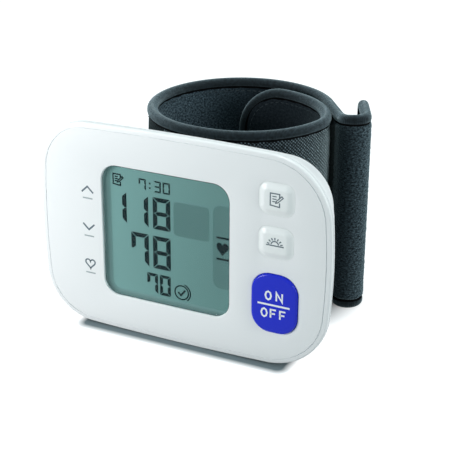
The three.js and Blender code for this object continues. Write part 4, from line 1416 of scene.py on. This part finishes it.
@dataclass
class Display:
    """The window, the bezel behind it and what the display shows."""

    window: RoundRect
    sink: float = 0.25
    thickness: float = 1.2
    fit: float = 0.12
    edge_round: float = 0.18
    edge_steps: int = 4
    bezel_start: float = 1.62
    bezel_left: float = 2.1
    bezel_low: float = 1.6
    bezel_right: float = 0.3
    bezel_corner: float = 2.6
    bezel_steps: int = 6
    bezel_lap: float = 0.5
    bezel_inset: float = 0.05
    bezel_clear: float = 0.04
    bezel_under: float = 0.02
    shift: Flat = (-1.03, -0.55)
    readings: tuple[Digits, ...] = (
        Digits("118", -2.7, 2.75, 5.55, 9.65, 7.0, 1.4),
        Digits("78", -2.75, -9.45, 5.65, 10.1, 7.0, 1.42),
        Digits("70", -2.9, -17.6, 3.5, 6.4, 4.1, 1.0),
        Digits("7:30", -2.7, 13.9, 2.3, 3.4, 2.85, 0.5, 1.9),
    )
    note: Notepad = Notepad(3.25, 0.42)
    note_at: Flat = (-19.3, 15.7)
    ring_at: Flat = (0.6, -15.4)
    rings: tuple[Quad, ...] = ((2.15, 0, FULL_TURN, 0.42), (2.8, 70, -52, 0.4))
    tick: tuple[Flat, ...] = ((-0.5, -15.4), (0.35, -16.3), (1.75, -14.5))
    tick_line: float = 0.55
    heart: Heart = Heart(13.4, 0.5, 3.6, 1.28)
    heart_bars: Flat = (4.0, -2.4)
    heart_bar: Bar = Bar(2.5, 0.6)
    heart_bar_x: float = 14.1
    fields: tuple[RoundRect, ...] = (
        RoundRect(3.85, 7.1, 11.1, 10.2, 1.2),
        RoundRect(14.4, 1.0, 7.8, 25.0, 2.4),
    )
    field_ink: float = 0.015

    @property
    def film(self) -> float:
        """How deep behind the face the film lies."""
        return node_box("lcd_front_glass")[0].y - FACE.front

    def pane(self) -> Piece:
        """The clear window."""
        front, back, turn = self.sink, self.sink + self.thickness, self.edge_round
        edge = quarter((-self.fit - turn, front), (-self.fit, front + turn), self.edge_steps)
        edge += quarter((-self.fit, back - turn), (-self.fit - turn, back), self.edge_steps, False)
        return loft("window_pane", self.window, edge, Crease.SOFT)

    def bezel(self) -> Piece:
        """A frame that slopes from the window's edge down to the film."""
        window = self.window
        view = RoundRect(
            window.x + (self.bezel_left + self.bezel_right) / 2,
            window.up + (self.bezel_low + self.bezel_right) / 2,
            window.width - self.bezel_left + self.bezel_right,
            window.height - self.bezel_low + self.bezel_right,
            self.bezel_corner,
        )
        film = self.film - self.bezel_clear
        under = film + self.bezel_under
        outer = window.ring(self.bezel_lap)
        rings = [(outer, self.bezel_start)]
        for share in steps(self.bezel_steps):
            pairs = zip(window.ring(-self.bezel_inset), view.ring())
            ring = [(mix(a[0], b[0], share), mix(a[1], b[1], share)) for a, b in pairs]
            rings.append((ring, mix(self.bezel_start, film, share)))
        rings += [(view.ring(self.bezel_under), under), (outer, under)]
        maker = MeshMaker()
        rows = [maker.ring(ring, depth) for ring, depth in rings]
        maker.skin(rows)
        maker.bridge(rows[-1], rows[0])
        return maker.build("display_bezel", Crease.SOFT)

    def place(self, x: float, up: float, depth: float) -> Vector:
        """A point of what the display shows, in the part's frame."""
        return FACE.at(x + self.shift[0], up + self.shift[1], depth)

    def figures(self) -> Piece:
        """The dark figures and signs that the display shows."""
        dark = Drawing(self.place, self.film)
        for row in self.readings:
            row.draw(dark)
        self.note.draw(dark, *self.note_at)
        for ring in self.rings:
            dark.arc(*self.ring_at, *ring)
        dark.stroke(self.tick, self.tick_line)
        dark.shape(self.heart.points())
        for up in self.heart_bars:
            self.heart_bar.draw(dark, self.heart_bar_x, up)
        return dark.build("display_figures", LCD_DARK)

    def shaded(self) -> Piece:
        """The two darker fields that the display shows."""
        drawing = Drawing(self.place, self.film, self.field_ink)
        for shape in self.fields:
            drawing.shape(shape.ring())
        return drawing.build("display_fields", LCD_SHADE)

    def build(self) -> list[Piece]:
        """Makes, dresses and seats the display's pieces."""
        outer, inner = ((FACE.front + depth) * MM for depth in (self.bezel_start, self.film))
        slope = replace(LCD_SLOPE_PAINTED_SHADE, outer_depth=outer, inner_depth=inner)
        return [
            seat(dress(self.pane(), WINDOW_CLEAR), "unit", "window_clear", "display_window"),
            seat(dress(self.bezel(), slope), "unit", "holder_dark", "lcd_holder"),
            seat(self.figures(), "unit", "lcd_glass"),
            seat(self.shaded(), "unit", "lcd_glass"),
        ]


PlacedSign = tuple[Notepad | Sunrise | Bar | Word, float, float]
START_SIGNS: tuple[PlacedSign, ...] = (
    (Bar(4.8, 0.55), 0.0, -0.2),
    (Word("ON", 3.3), 0.0, 1.3),
    (Word("OFF", 2.8), 0.0, -4.1),
)
MEMORY_SIGNS: tuple[PlacedSign, ...] = ((Notepad(3.7, 0.34), 0.2, 0.0),)
MORNING_SIGNS: tuple[PlacedSign, ...] = ((Sunrise(5.2, 0.34), 0.0, -0.5),)
PILLOW = {"pillow": True, "round_in": 2.2, "gap": 0.04, "hole_round": 0.02}


@dataclass(frozen=True)
class Key:
    """A push button: its cap, how it is rounded and what is printed on it."""

    name: str
    cap: RoundRect
    finish: Finish
    ink: Finish
    slot: str
    proud: float = 0.7
    pillow: bool = False
    round_in: float = 0.7
    round_down: float = 0.55
    round_steps: int = 8
    pillow_steps: int = 14
    gap: float = 0.1
    hole_round: float = 0.2
    skirt: float = 1.85
    flange: float = 0.8
    flange_thickness: float = 0.7
    signs: tuple[PlacedSign, ...] = ()

    @classmethod
    def from_node(cls, name: str, radius: float, trim: Flat = (0.0, 0.0), **rest: object) -> "Key":
        """A key at its CAD button's place.

        Args:
            name: The key's name.
            radius: Its corners' radius.
            trim: How much narrower and lower its cap is than the CAD button's.
            rest: Its finish, ink, slot, signs and the rounding of its cap.

        Returns:
            The key; the flange stands out all round.
        """
        low, high = node_box(f"{name}_button")
        less = (-2 * cls.flange - part for part in trim)
        cap = RoundRect.over(low, high, tuple(less), radius)
        return cls(name, cap, proud=FACE.front - low.y, **rest)

    @property
    def hole(self) -> tuple[RoundRect, float, float]:
        """The key's opening in the face: its cap, the gap round it and how its edge is rounded."""
        return self.cap, self.gap, self.hole_round

    def crest(self) -> list[Flat]:
        """How the cap grows with depth: a soft swell out of the face, or a flat top with a rounded edge."""
        if not self.pillow:
            end = (0.0, self.round_down - self.proud)
            return quarter((-self.round_in, -self.proud), end, self.round_steps)
        return [
            (self.round_in * (share - 1), -self.proud * (1 + math.cos(math.pi * share)) / 2)
            for share in steps(self.pillow_steps)
        ]

    def build(self) -> list[Piece]:
        """Makes the cap with its flange and the sign on it, and dresses and seats them."""
        low = self.skirt + self.flange_thickness
        rest = [(0.0, self.skirt), (self.flange, self.skirt), (self.flange, low)]
        cap = loft(f"{self.name}_cap", self.cap, [*self.crest(), *rest], Crease.KEY)
        sign = self.sign(Drawing(FACE.at, -self.proud))
        body = f"{self.name}_key"
        return [
            seat(dress(cap, self.finish), body, self.slot, f"{self.name}_button"),
            seat(sign, body, self.slot),
        ]

    def sign(self, drawing: Drawing) -> Piece:
        """Prints the key's sign."""
        for sign, x, up in self.signs:
            sign.draw(drawing, self.cap.x + x, self.cap.up + up)
        return drawing.build(f"{self.name}_sign", self.ink)


@dataclass(frozen=True)
class FaceSigns:
    """Three plain signs beside the readings: upper, lower and beat, each over a short bar."""

    x: float = -29.6
    chevron_half: float = 1.9
    chevrons: tuple[Flat, ...] = ((10.4, 12.2), (0.6, -1.2))
    chevron_line: float = 0.5
    heart: Heart = Heart(-29.6, -12.2, 3.2, count=28)
    heart_line: float = 0.42
    bars: tuple[float, ...] = (8.6, -3.2, -15.0)
    bar: Bar = Bar(1.6, 0.4)

    def build(self) -> list[Piece]:
        """Prints and seats the signs and their bars."""
        signs, bars = Drawing(FACE.at, 0.0), Drawing(FACE.at, 0.0)
        left, right = self.x - self.chevron_half, self.x + self.chevron_half
        for foot, tip in self.chevrons:
            signs.stroke([(left, foot), (self.x, tip), (right, foot)], self.chevron_line)
        signs.stroke(self.heart.points(), self.heart_line, True)
        for up in self.bars:
            self.bar.draw(bars, self.x, up)
        pieces = [signs.build("face_signs", GREY_INK), bars.build("face_bars", PALE_INK)]
        return [seat(piece, "unit", "housing_white") for piece in pieces]


@dataclass(frozen=True)
class Leg:
    """A stretch of the band's middle line: straight, or an arc whose turn is in degrees, left positive."""

    length: float = 0.0
    radius: float = 0.0
    turn: float = 0.0

    @property
    def reach(self) -> float:
        """Its length along the line."""
        return abs(math.radians(self.turn)) * self.radius if self.radius else self.length

    def walk(self, x: float, y: float, heading: float, distance: float) -> Triple:
        """Place and heading, in radians, of a walk along the leg after some distance."""
        if not self.radius:
            return x + distance * math.cos(heading), y + distance * math.sin(heading), heading
        side = math.copysign(self.radius, self.turn)
        end = heading + distance / side
        cx, cy = x - side * math.sin(heading), y + side * math.cos(heading)
        return cx + side * math.sin(end), cy - side * math.cos(end), end


@dataclass
class Band:
    """The cuff's middle line in plan, from the tongue's end round the wrist to the flap's end."""

    tongue: tuple[Leg, ...] = (
        Leg(length=11.6),
        Leg(radius=24.1, turn=-76),
        Leg(radius=11.0, turn=-28.1),
        Leg(radius=26.65, turn=-78.1),
    )
    rest: tuple[Leg, ...] = (
        Leg(length=2.5),
        Leg(radius=25.0, turn=-90),
        Leg(radius=27.3, turn=-72),
        Leg(radius=26.5, turn=-72.5),
        Leg(length=17.7),
        Leg(radius=3.3, turn=169),
        Leg(length=13.7),
    )
    thickness: float = 3.2
    flap_rise: float = 1.5
    rise_before: float = 6.0
    rise_reach: float = 11.0
    bend_pace: float = 0.16
    least_step: float = 0.12
    height: float = field(init=False)
    starts: list[Quad] = field(init=False)

    def __post_init__(self) -> None:
        """Places the line so that its front lies where the CAD cuff's does."""
        low, high = node_box("cuff_binding")
        self.height = high.z - low.z
        left = self.rest[1].radius + self.thickness / 2
        front_x = low.x + left + self.rest[0].length
        front_y = low.y + self.thickness / 2
        x, y, heading, _ = self.chain(0.0, 0.0, 0.0)[len(self.tongue)]
        turn = math.pi - heading
        spun = Matrix.Rotation(turn, 2) @ Vector((x, y))
        self.starts = self.chain(front_x - spun.x, front_y - spun.y, turn)

    @property
    def legs(self) -> tuple[Leg, ...]:
        """All legs, in order."""
        return self.tongue + self.rest

    @property
    def length(self) -> float:
        """The whole line's length."""
        return sum(leg.reach for leg in self.legs)

    @property
    def bend_start(self) -> float:
        """The distance at which the bend at the left of the loop starts."""
        return sum(leg.reach for leg in self.tongue) + self.rest[0].reach

    @property
    def hinge(self) -> float:
        """The distance at which that bend ends, where the strap turns."""
        return self.bend_start + self.rest[1].reach

    def stretch(self, distance: float) -> float:
        """How much taller the band is there; it flares a little towards the flap."""
        start = self.starts[-2][3] - self.rise_before
        return 1 + self.flap_rise / self.height * ease((distance - start) / self.rise_reach)

    def chain(self, x: float, y: float, heading: float) -> list[Quad]:
        """Place, heading and distance at each leg's start."""
        distance = 0.0
        found = []
        for leg in self.legs:
            found.append((x, y, heading, distance))
            x, y, heading = leg.walk(x, y, heading, leg.reach)
            distance += leg.reach
        return found

    def at(self, distance: float, offset: float, height: float) -> Vector:
        """A point by its distance along the line, offset outwards and height."""
        held = min(max(distance, 0.0), self.length)
        index = max(i for i, start in enumerate(self.starts) if start[3] <= held)
        x, y, heading, start = self.starts[index]
        x, y, heading = self.legs[index].walk(x, y, heading, held - start)
        past = distance - held
        x, y = x + past * math.cos(heading), y + past * math.sin(heading)
        rise = height * self.stretch(distance)
        return Vector((x - offset * math.sin(heading), y + offset * math.cos(heading), rise))

    def stations(self, start: float, end: float, step: float) -> list[float]:
        """Distances from start to end, closer together in tight bends."""
        found = set()
        for leg, place in zip(self.legs, self.starts):
            pace = min(step, leg.radius * self.bend_pace) if leg.radius else step
            count = max(1, math.ceil(leg.reach / pace))
            found.update(place[3] + leg.reach * share for share in steps(count))
        kept = [start]
        for spot in sorted(found):
            if spot - kept[-1] > self.least_step and end - spot > self.least_step:
                kept.append(spot)
        return [*kept, end]


class End(Enum):
    """Which end of a half of the cuff is free, as a sign along the band."""

    FIRST = -1
    LAST = 1


@dataclass
class BandPiece:
    """One half of the cuff: a padded band with bound edges, free at one end."""

    name: str
    band: Band
    start: float
    end: float
    free: End
    corner: float
    outer: Finish
    lining: Finish
    step: float = 1.1
    rows: int = 26
    tuck: float = 1.2
    bound: float = 2.6
    pads: Flat = (1.36, 1.16)
    pad_change: Flat = (-10.0, 20.0)
    pad_ease: float = 5.0
    pucker: float = 0.05
    pucker_in: float = 1.2
    pucker_pitch: float = 5.2
    corner_steps: int = 14
    end_steps: int = 8
    least_step: float = 0.05
    inner_facing: float = -0.2
    seam_half: float = 1.1
    seam_line: float = 0.6
    tape_feet: tuple[Flat, ...] = ((1.22, 0.0), (1.46, 0.25))
    tape_side: float = 0.8
    tape_shoulder: float = 1.5
    tape_steps: int = 6
    tape_map: float = 0.5
    stitch_in: float = 4.0
    stitch_pitch: float = 1.9
    stitch_length: float = 1.5
    stitch_radius: float = 0.13
    stitch_thin: float = 0.55
    stitch_rise: float = 0.16
    stitch_sink: float = 0.1
    stitch_steps: int = 4
    stitch_sides: int = 6

    @property
    def height(self) -> float:
        """The band's height."""
        return self.band.height

    @property
    def way(self) -> int:
        """The sign of the way along the band to the free end."""
        return self.free.value

    @property
    def ends(self) -> Flat:
        """The distances of the free end and of the fixed one."""
        return (self.end, self.start) if self.free is End.LAST else (self.start, self.end)

    def half(self, distance: float, height: float) -> float:
        """Half the cloth's thickness at a place on the band, thinner along the strap."""
        low, high = self.tuck, self.height - self.tuck
        gap = min(height - low, high - height, abs(self.ends[0] - distance)) - (self.bound - self.tuck)
        before, reach = self.pad_change
        full = mix(*self.pads, ease((distance - self.band.hinge - before) / reach))
        wave = self.pucker * math.sin(distance * math.tau / self.pucker_pitch)
        wave *= math.exp(-((gap - self.pucker_in) ** 2))
        return mix(self.seam_half, full, ease(gap / self.pad_ease)) + wave

    def cloth(self) -> Piece:
        """The padded band itself; its inner side has the lining's material."""
        tip, root = self.ends
        tip -= self.way * self.tuck
        corner = self.corner - self.tuck
        found = set(self.band.stations(min(tip, root), max(tip, root), self.step))
        for share in steps(self.corner_steps):
            found.add(tip - self.way * corner * (1 - math.cos(share * math.pi / 2)))
        spots = sorted(found)
        kept = [spots[0]] + [b for a, b in pairwise(spots) if b - a > self.least_step]
        kept[-1] = spots[-1]
        maker = MeshMaker()
        rings = []
        for distance in kept:
            inset = self.tuck + self.tip_inset(abs(distance - tip), corner)
            low, high = inset, self.height - inset
            points, places = [], []
            for side, shares in ((1, steps(self.rows)), (-1, reversed(steps(self.rows)))):
                for share in shares:
                    height = mix(low, high, share)
                    points.append(self.band.at(distance, side * self.half(distance, height), height))
                    places.append((distance, height))
            rings.append(maker.loop(points, places))
        maker.close(rings)
        piece = dress(maker.build(f"{self.name}_band", Crease.CLOTH), self.outer, self.lining)
        self.line_inside(piece)
        return piece

    def tip_inset(self, gone: float, radius: float) -> float:
        """How far the cloth's own round corner draws it in, at a distance from its tip."""
        if gone >= radius:
            return 0.0
        return min(radius - math.sqrt(max(0.0, radius**2 - (radius - gone) ** 2)), radius)

    def line_inside(self, piece: Piece) -> None:
        """Gives the faces on the band's inner side the second material."""
        layer = piece.data.uv_layers[BAND_MAP].data
        for face in piece.data.polygons:
            distance = sum(layer[i].uv[0] for i in face.loop_indices) / face.loop_total
            out = self.band.at(distance, 1.0, 0.0) - self.band.at(distance, 0.0, 0.0)
            face.material_index = int(face.normal.dot(out) < self.inner_facing)

    def edge_path(self, depth: float) -> list[Flat]:
        """Distance and height along the bound edge, drawn in by a depth.

        Args:
            depth: How far inside the edge the path runs.

        Returns:
            The path up to the free end along the bottom, round it, and back along the top.
        """
        tip, root = self.ends
        turn = tip - self.way * self.corner
        radius = self.corner - depth
        low = self.band.stations(min(root, turn), max(root, turn), self.step)
        path = [(distance, depth) for distance in low[:: self.way]]
        for share in steps(self.corner_steps)[1:]:
            angle = math.pi / 2 * (1 - share)
            across = self.way * radius * math.cos(angle)
            path.append((turn + across, self.corner - radius * math.sin(angle)))
        top = [(distance, self.height - height) for distance, height in reversed(path)]
        side = tip - self.way * depth
        for share in steps(self.end_steps)[1:-1]:
            path.append((side, mix(self.corner, self.height - self.corner, share)))
        return path + top

    def tape_section(self) -> list[Flat]:
        """Offset and depth round the tape, from its foot on one side over the edge to the other."""
        half = self.band.thickness / 2
        side = [(self.seam_half, self.bound + self.seam_line)]
        side += [(offset, self.bound - up) for offset, up in self.tape_feet]
        side += [(half, self.bound - self.tape_side)]
        side += quarter((half, self.tape_shoulder), (0.0, 0.0), self.tape_steps, False)
        return [(-offset, depth) for offset, depth in side[:-1]] + side[::-1]

    def binding(self) -> Piece:
        """The tape folded over the band's edge, as one rounded roll, with a near-black strip of painted
        shade along its feet.
        """
        section = self.tape_section()
        paths = {depth: self.edge_path(depth) for _, depth in section}
        outer = self.edge_path(0.0)
        maker = MeshMaker()
        walked = 0.0
        rows = []
        for index, spot in enumerate(outer):
            walked += math.dist(outer[max(index - 1, 0)], spot)
            points, places = [], []
            for turn, (offset, depth) in enumerate(section):
                distance, height = paths[depth][index]
                points.append(self.band.at(distance, offset, height))
                places.append((walked, turn * self.tape_map))
            rows.append(maker.loop(points, places))
        maker.close(rows)
        piece = dress(maker.build(f"{self.name}_edge_tape", Crease.CLOTH), BINDING_TAPE, SEAM_PAINTED_SHADE)
        # painted shade: the rows at the tape's feet get the near-black seam material where the fold lies in
        # shade
        count = len(section)
        shade_feet = {0, 1, count - 3, count - 2, count - 1}
        for index, face in enumerate(piece.data.polygons):
            face.material_index = int(index % count in shade_feet)
        return piece

    def stitches(self) -> Piece:
        """Short raised stitches just inside the tape, on both sides of the band."""
        maker = MeshMaker()
        due = self.stitch_pitch
        walked = 0.0
        for start, end in pairwise(self.edge_path(self.stitch_in)):
            length = math.dist(start, end)
            while length > 0 and walked + length >= due:
                share = (due - walked) / length
                spot = Vector((mix(start[0], end[0], share), mix(start[1], end[1], share)))
                way = Vector((end[0] - start[0], end[1] - start[1])).normalized()
                for side in (1, -1):
                    self.stitch(maker, spot, way, side)
                due += self.stitch_pitch
            walked += length
        return dress(maker.build(f"{self.name}_stitches", Crease.SOFT), STITCH_THREAD)

    def stitch(self, maker: MeshMaker, spot: Vector, way: Vector, side: int) -> None:
        """One stitch: a short thread that dips into the cloth at both ends."""
        across = Vector((-way.y, way.x))
        rows = []
        for share in steps(self.stitch_steps):
            arch = math.sin(math.pi * share)
            along = way * mix(-0.5, 0.5, share) * self.stitch_length
            rise = self.stitch_rise * arch - self.stitch_sink
            radius = self.stitch_radius * mix(self.stitch_thin, 1.0, arch)
            ring = []
            for turn in range(self.stitch_sides):
                angle = math.tau * turn / self.stitch_sides
                flat = spot + along + across * radius * math.cos(angle)
                offset = self.half(flat.x, flat.y) + rise + radius * math.sin(angle)
                ring.append(self.band.at(flat.x, side * offset, flat.y))
            rows.append(maker.loop(ring))
        maker.close(rows)


@dataclass
class Cuff:
    """The whole cuff: the half fixed to the housing, the strap and its hook patch."""

    band: Band
    fill: float = 0.3
    split_turn: float = 27.0
    tongue_corner: float = 14.5
    flap_corner: float = 3.0
    lining_painted_shade: Flat = (37.0, 12.0)
    patch_length: float = 24.0
    patch_base: float = 1.16
    patch_sunk: float = 0.2
    patch_thickness: float = 0.5
    patch_margin: float = 3.1
    patch_step: float = 0.4
    patch_rows: int = 130
    patch_edge: Flat = (0.5, 0.25)
    patch_bare: Flat = (4.5, 9.5)
    tuft: float = 0.14
    tuft_size: float = 0.9
    tuft_finer: float = 2.3
    bend_before: float = 8.0
    bend_way: Flat = (0.3, 1.0)
    bend_reach: float = 14.0

    def patch(self) -> Piece:
        """The hook tape at the flap's end, with its tufted face."""
        end = self.band.length - self.patch_margin
        start = end - self.patch_length
        foot, head = self.patch_margin, self.band.height - self.patch_margin
        heights = [mix(foot, head, share) for share in steps(self.patch_rows)]
        edge, least = self.patch_edge
        bare, full = (start + reach for reach in self.patch_bare)
        maker = MeshMaker()
        rows = []
        for distance in self.band.stations(start, end, self.patch_step):
            tuft = self.tuft * ease((distance - bare) / (full - bare))
            spots = []
            for height in heights:
                gap = min(distance - start, end - distance, height - foot, head - height)
                seed = Vector((distance, height, 0.0)) / self.tuft_size
                lift = self.patch_thickness * ease(gap / edge + least)
                lift += tuft * (noise.noise(seed) + noise.noise(seed * self.tuft_finer) / 2)
                spots.append((height, -self.patch_base - lift))
            spots += [(height, self.patch_sunk - self.patch_base) for height in (head, foot)]
            points = [self.band.at(distance, offset, height) for height, offset in spots]
            rows.append(maker.loop(points, [(distance, height) for height, _ in spots]))
        maker.close(rows)
        # the nap is painted dark at the bare stretch and brightens to its full colour: painted shade
        return dress(maker.build("hook_patch", Crease.SOFT), replace(HOOK_NAP, painted_shade_fade=(bare, full)))

    def bend(self, piece: Piece, slot: str, *nodes: str) -> None:
        """Bakes a piece's place into its mesh and hides the CAD nodes that it stands for."""
        start = self.band.at(self.band.hinge - self.bend_before, 0.0, self.band.height / 2) * MM
        way = Vector((*self.bend_way, 0.0)).normalized()
        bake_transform(piece)
        if nodes:
            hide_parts(*nodes)

    def build(self) -> list[Piece]:
        """Makes and dresses the cuff's pieces, and seats the fixed half and the hook patch."""
        split = self.band.bend_start + math.radians(self.split_turn) * self.band.rest[1].radius
        # painted shade: the strap's lining darkens towards the flap
        lining = replace(STRAP_LINING_PAINTED_LIGHT, painted_shade_fade=tuple(self.band.hinge + reach for reach in self.lining_painted_shade))
        fixed = BandPiece(
            "cuff", self.band, 0.0, split, End.FIRST, self.tongue_corner, CUFF_CLOTH, CUFF_LINING_PAINTED_SHADE
        )
        strap = BandPiece(
            "strap", self.band, split, self.band.length, End.LAST, self.flap_corner, STRAP_CLOTH_PAINTED_SHADE, lining
        )
        band, tape, thread = fixed.cloth(), fixed.binding(), fixed.stitches()
        layers = ("cuff_outer_cloth", "cuff_curler", "cuff_bladder", "cuff_inner_cloth")
        seat(band, "unit", "cuff_cloth", *layers)
        seat(tape, "unit", "binding_tape", "cuff_binding")
        seat(thread, "unit", "binding_tape")
        strap_band, strap_tape, strap_thread = strap.cloth(), strap.binding(), strap.stitches()
        patch = self.patch()
        self.bend(strap_band, "cuff_cloth", "strap_outer_cloth", "strap_lining")
        self.bend(strap_tape, "binding_tape", "strap_binding")
        self.bend(strap_thread, "binding_tape")
        seat(patch, "cuff_strap", "hook_tape", "strap_hook_patch")
        return [band, tape, thread, strap_band, strap_tape, strap_thread, patch]


@dataclass(frozen=True)
class Lamp:
    """A soft lamp: where it stands, how large it is and how strong."""

    name: str
    place: Triple
    size: float
    power: float
    colour: Colour = WHITE

    def build(self, target: Vector) -> None:
        """Makes the lamp, aimed at a point."""
        data = bpy.data.lights.new(self.name, "AREA")
        data.shape = "SQUARE"
        data.size = self.size * MM
        data.energy = self.power
        data.color = self.colour
        made = add_object(self.name, data)
        made.location = Vector(self.place) * MM
        made.rotation_mode = "QUATERNION"
        made.rotation_quaternion = (target * MM - made.location).to_track_quat("-Z", "Y")
        made.visible_camera = False


@dataclass
class Studio:
    """The camera, the pale floor and soft light."""

    lens: float = 98.63
    sensor: float = 36.0
    clip: Flat = (0.01, 20.0)
    place: Triple = (149.267, -278.98, 142.10)
    yaw: float = 25.79
    pitch: float = 23.354
    roll: float = 0.20
    floor_size: float = 4000.0
    ambient: float = 0.31
    ambient_tint: Colour = (0.68, 1.0, 1.0)
    # the floor's colour as the camera sees it, dark enough to show the painted shadow near the monitor
    painted_shadow_floor: Colour = (0.17, 0.215, 0.235)
    floor_bounce: Colour = (0.35, 0.35, 0.35)
    stand_shadow: Flat = (1.6, 4.2)
    loop_shadow: Flat = (20.0, 31.0)
    stand_inset: Flat = (15.0, 0.0)
    loop_inset: Flat = (30.0, 27.0)
    target: Triple = (0.0, 0.0, 30.0)
    lamps: tuple[Lamp, ...] = (
        Lamp("key", (-170.0, -215.0, 95.0), 120.0, 0.535, (1.0, 0.96, 0.955)),
        Lamp("side", (425.0, -45.0, 165.0), 200.0, 0.82),
        Lamp("top", (30.0, 40.0, 640.0), 200.0, 1.85),
    )

    def camera(self) -> None:
        """Places the camera; its place is measured from the middle of the face."""
        yaw, pitch, roll = (math.radians(turn) for turn in (self.yaw, self.pitch, self.roll))
        back = Vector((math.sin(yaw) * math.cos(pitch), -math.cos(yaw) * math.cos(pitch), math.sin(pitch)))
        level = Vector((math.cos(yaw), math.sin(yaw), 0.0))
        up = back.cross(level)
        right = level * math.cos(roll) + up * math.sin(roll)
        turned = Matrix((right, back.cross(right), back)).transposed().to_4x4()
        data = bpy.data.cameras.new("camera")
        data.lens = self.lens
        data.sensor_width = self.sensor
        data.clip_start, data.clip_end = self.clip
        made = add_object("camera", data)
        x, y, z = self.place
        made.matrix_world = Matrix.Translation(FACE.at(x, z, y) * MM) @ turned
        bpy.context.scene.camera = made

    def gap_to(self, graph: Graph, place: Socket, nodes: Sequence[str], inset: Flat) -> Socket:
        """How far a point of the floor is from the box that some CAD nodes stand in.

        Args:
            graph: The floor's nodes.
            place: The point.
            nodes: The CAD nodes.
            inset: How much the box is drawn in at each side, in millimetres.

        Returns:
            The distance in metres, nought inside the box.
        """
        corners = [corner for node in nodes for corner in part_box(node)]
        less = Vector((*inset, 0.0)) * MM
        low = Vector((min(c.x for c in corners), min(c.y for c in corners), 0.0)) + less
        high = Vector((max(c.x for c in corners), max(c.y for c in corners), 0.0)) - less
        moved = graph.vector("SUBTRACT", place, (low + high) / 2).outputs[0]
        sides = graph.vector("ABSOLUTE", moved).outputs[0]
        past = graph.vector("SUBTRACT", sides, (high - low) / 2).outputs[0]
        outside = graph.vector("MAXIMUM", past, (0.0, 0.0, 0.0)).outputs[0]
        return graph.vector("LENGTH", outside).outputs["Value"]

    def floor(self) -> None:
        """Lays the floor, white to the camera a little way off; close round the monitor the white lift is
        taken away and the camera sees a darker floor, a painted shadow over the real shadows.
        """
        half = self.floor_size / 2
        corners = ((-half, -half), (half, -half), (half, half), (-half, half))
        maker = MeshMaker()
        maker.cap(maker.loop([Vector((x, y, 0.0)) for x, y in corners]))
        made = maker.build("floor")
        material = bpy.data.materials.new("pale_floor")
        material.use_nodes = True
        graph = Graph(material.node_tree)
        seen = graph.seen()
        matt = graph.node("BsdfDiffuse", {"Color": graph.blend(seen, self.floor_bounce, self.painted_shadow_floor)})
        place = graph.place()
        lift = seen
        # painted shadow: near the stand and the loop the lift fades to nought, so the floor shows dark there
        for nodes, inset, (near, far) in (
            (("front_cover", "rear_cover"), self.stand_inset, self.stand_shadow),
            (("cuff_binding", "strap_binding"), self.loop_inset, self.loop_shadow),
        ):
            away = self.gap_to(graph, place, nodes, inset)
            lift = graph.math("MULTIPLY", lift, graph.span(away, 0.0, 1.0, near * MM, far * MM))
        glow = graph.node("Emission", {"Strength": lift})
        both = graph.node("AddShader", {0: matt.outputs[0], 1: glow.outputs[0]})
        graph.feed(graph.node("OutputMaterial").inputs["Surface"], both.outputs[0])
        made.data.materials.append(material)

    def world(self) -> None:
        """Lights the scene evenly, on a white background."""
        made = bpy.data.worlds.new("studio")
        bpy.context.scene.world = made
        made.use_nodes = True
        graph = Graph(made.node_tree)
        seen = graph.seen()
        inputs = {
            "Strength": graph.span(seen, self.ambient, 1.0),
            "Color": graph.blend(seen, self.ambient_tint, WHITE),
        }
        light = graph.node("Background", inputs)
        graph.feed(graph.node("OutputWorld").inputs["Surface"], light.outputs[0])

    def build(self) -> None:
        """Sets up the whole studio."""
        self.camera()
        self.floor()
        self.world()
        for lamp in self.lamps:
            lamp.build(Vector(self.target))
        bpy.context.scene.view_settings.view_transform = "Standard"


@dataclass(frozen=True)
class Monitor:
    """The whole monitor: how its window and keys are set into the face."""

    window_fit: float = 0.25
    window_corner: float = 5.0
    window_round: float = 0.3
    start_corner: float = 5.4
    start_trim: Flat = (0.65, 1.1)
    small_corner: float = 2.8

    def window(self) -> RoundRect:
        """The window's opening, a little larger than the CAD pane."""
        low, high = node_box("display_window")
        return RoundRect.over(low, high, (2 * self.window_fit,) * 2, self.window_corner)

    def keys(self) -> list[Key]:
        """The three keys."""
        blue = {"finish": KEY_BLUE, "ink": WHITE_INK, "slot": "button_blue", "signs": START_SIGNS}
        white = {"finish": KEY_WHITE, "ink": GREY_INK, "slot": "housing_white", **PILLOW}
        return [
            Key.from_node("start_stop", self.start_corner, self.start_trim, **blue),
            Key.from_node("memory", self.small_corner, signs=MEMORY_SIGNS, **white),
            Key.from_node("morning", self.small_corner, signs=MORNING_SIGNS, **white),
        ]

    def build(self) -> list[Piece]:
        """Builds every piece of the monitor, and gives the CAD nodes that stay their finishes."""
        low, high = node_box("rear_cover")
        outline = Outline((high.x - low.x) / 2, (high.z - low.z) / 2)
        window, keys = self.window(), self.keys()
        holes = [(window, 0.0, self.window_round), *(key.hole for key in keys)]
        pieces = Housing(outline, high.y - FACE.front, holes).build()
        pieces += Display(window).build()
        for key in keys:
            pieces += key.build()
        pieces += FaceSigns().build()
        pieces += Cuff(Band()).build()
        for part in frame["record"]["subparts"]:
            finish = SLOT_FINISHES.get(part["material_slot"])
            if finish:
                dress(frame["nodes"][part["node"]], finish)
        return pieces


def main() -> None:
    """Builds the studio and the monitor, and logs each piece's count of faces."""
    logging.basicConfig(level=logging.INFO, format="%(name)s: %(message)s")
    Studio().build()
    for piece in Monitor().build():
        LOG.info("%s: %d faces", piece.name, len(piece.data.polygons))


if __name__ == "__main__":
    main()
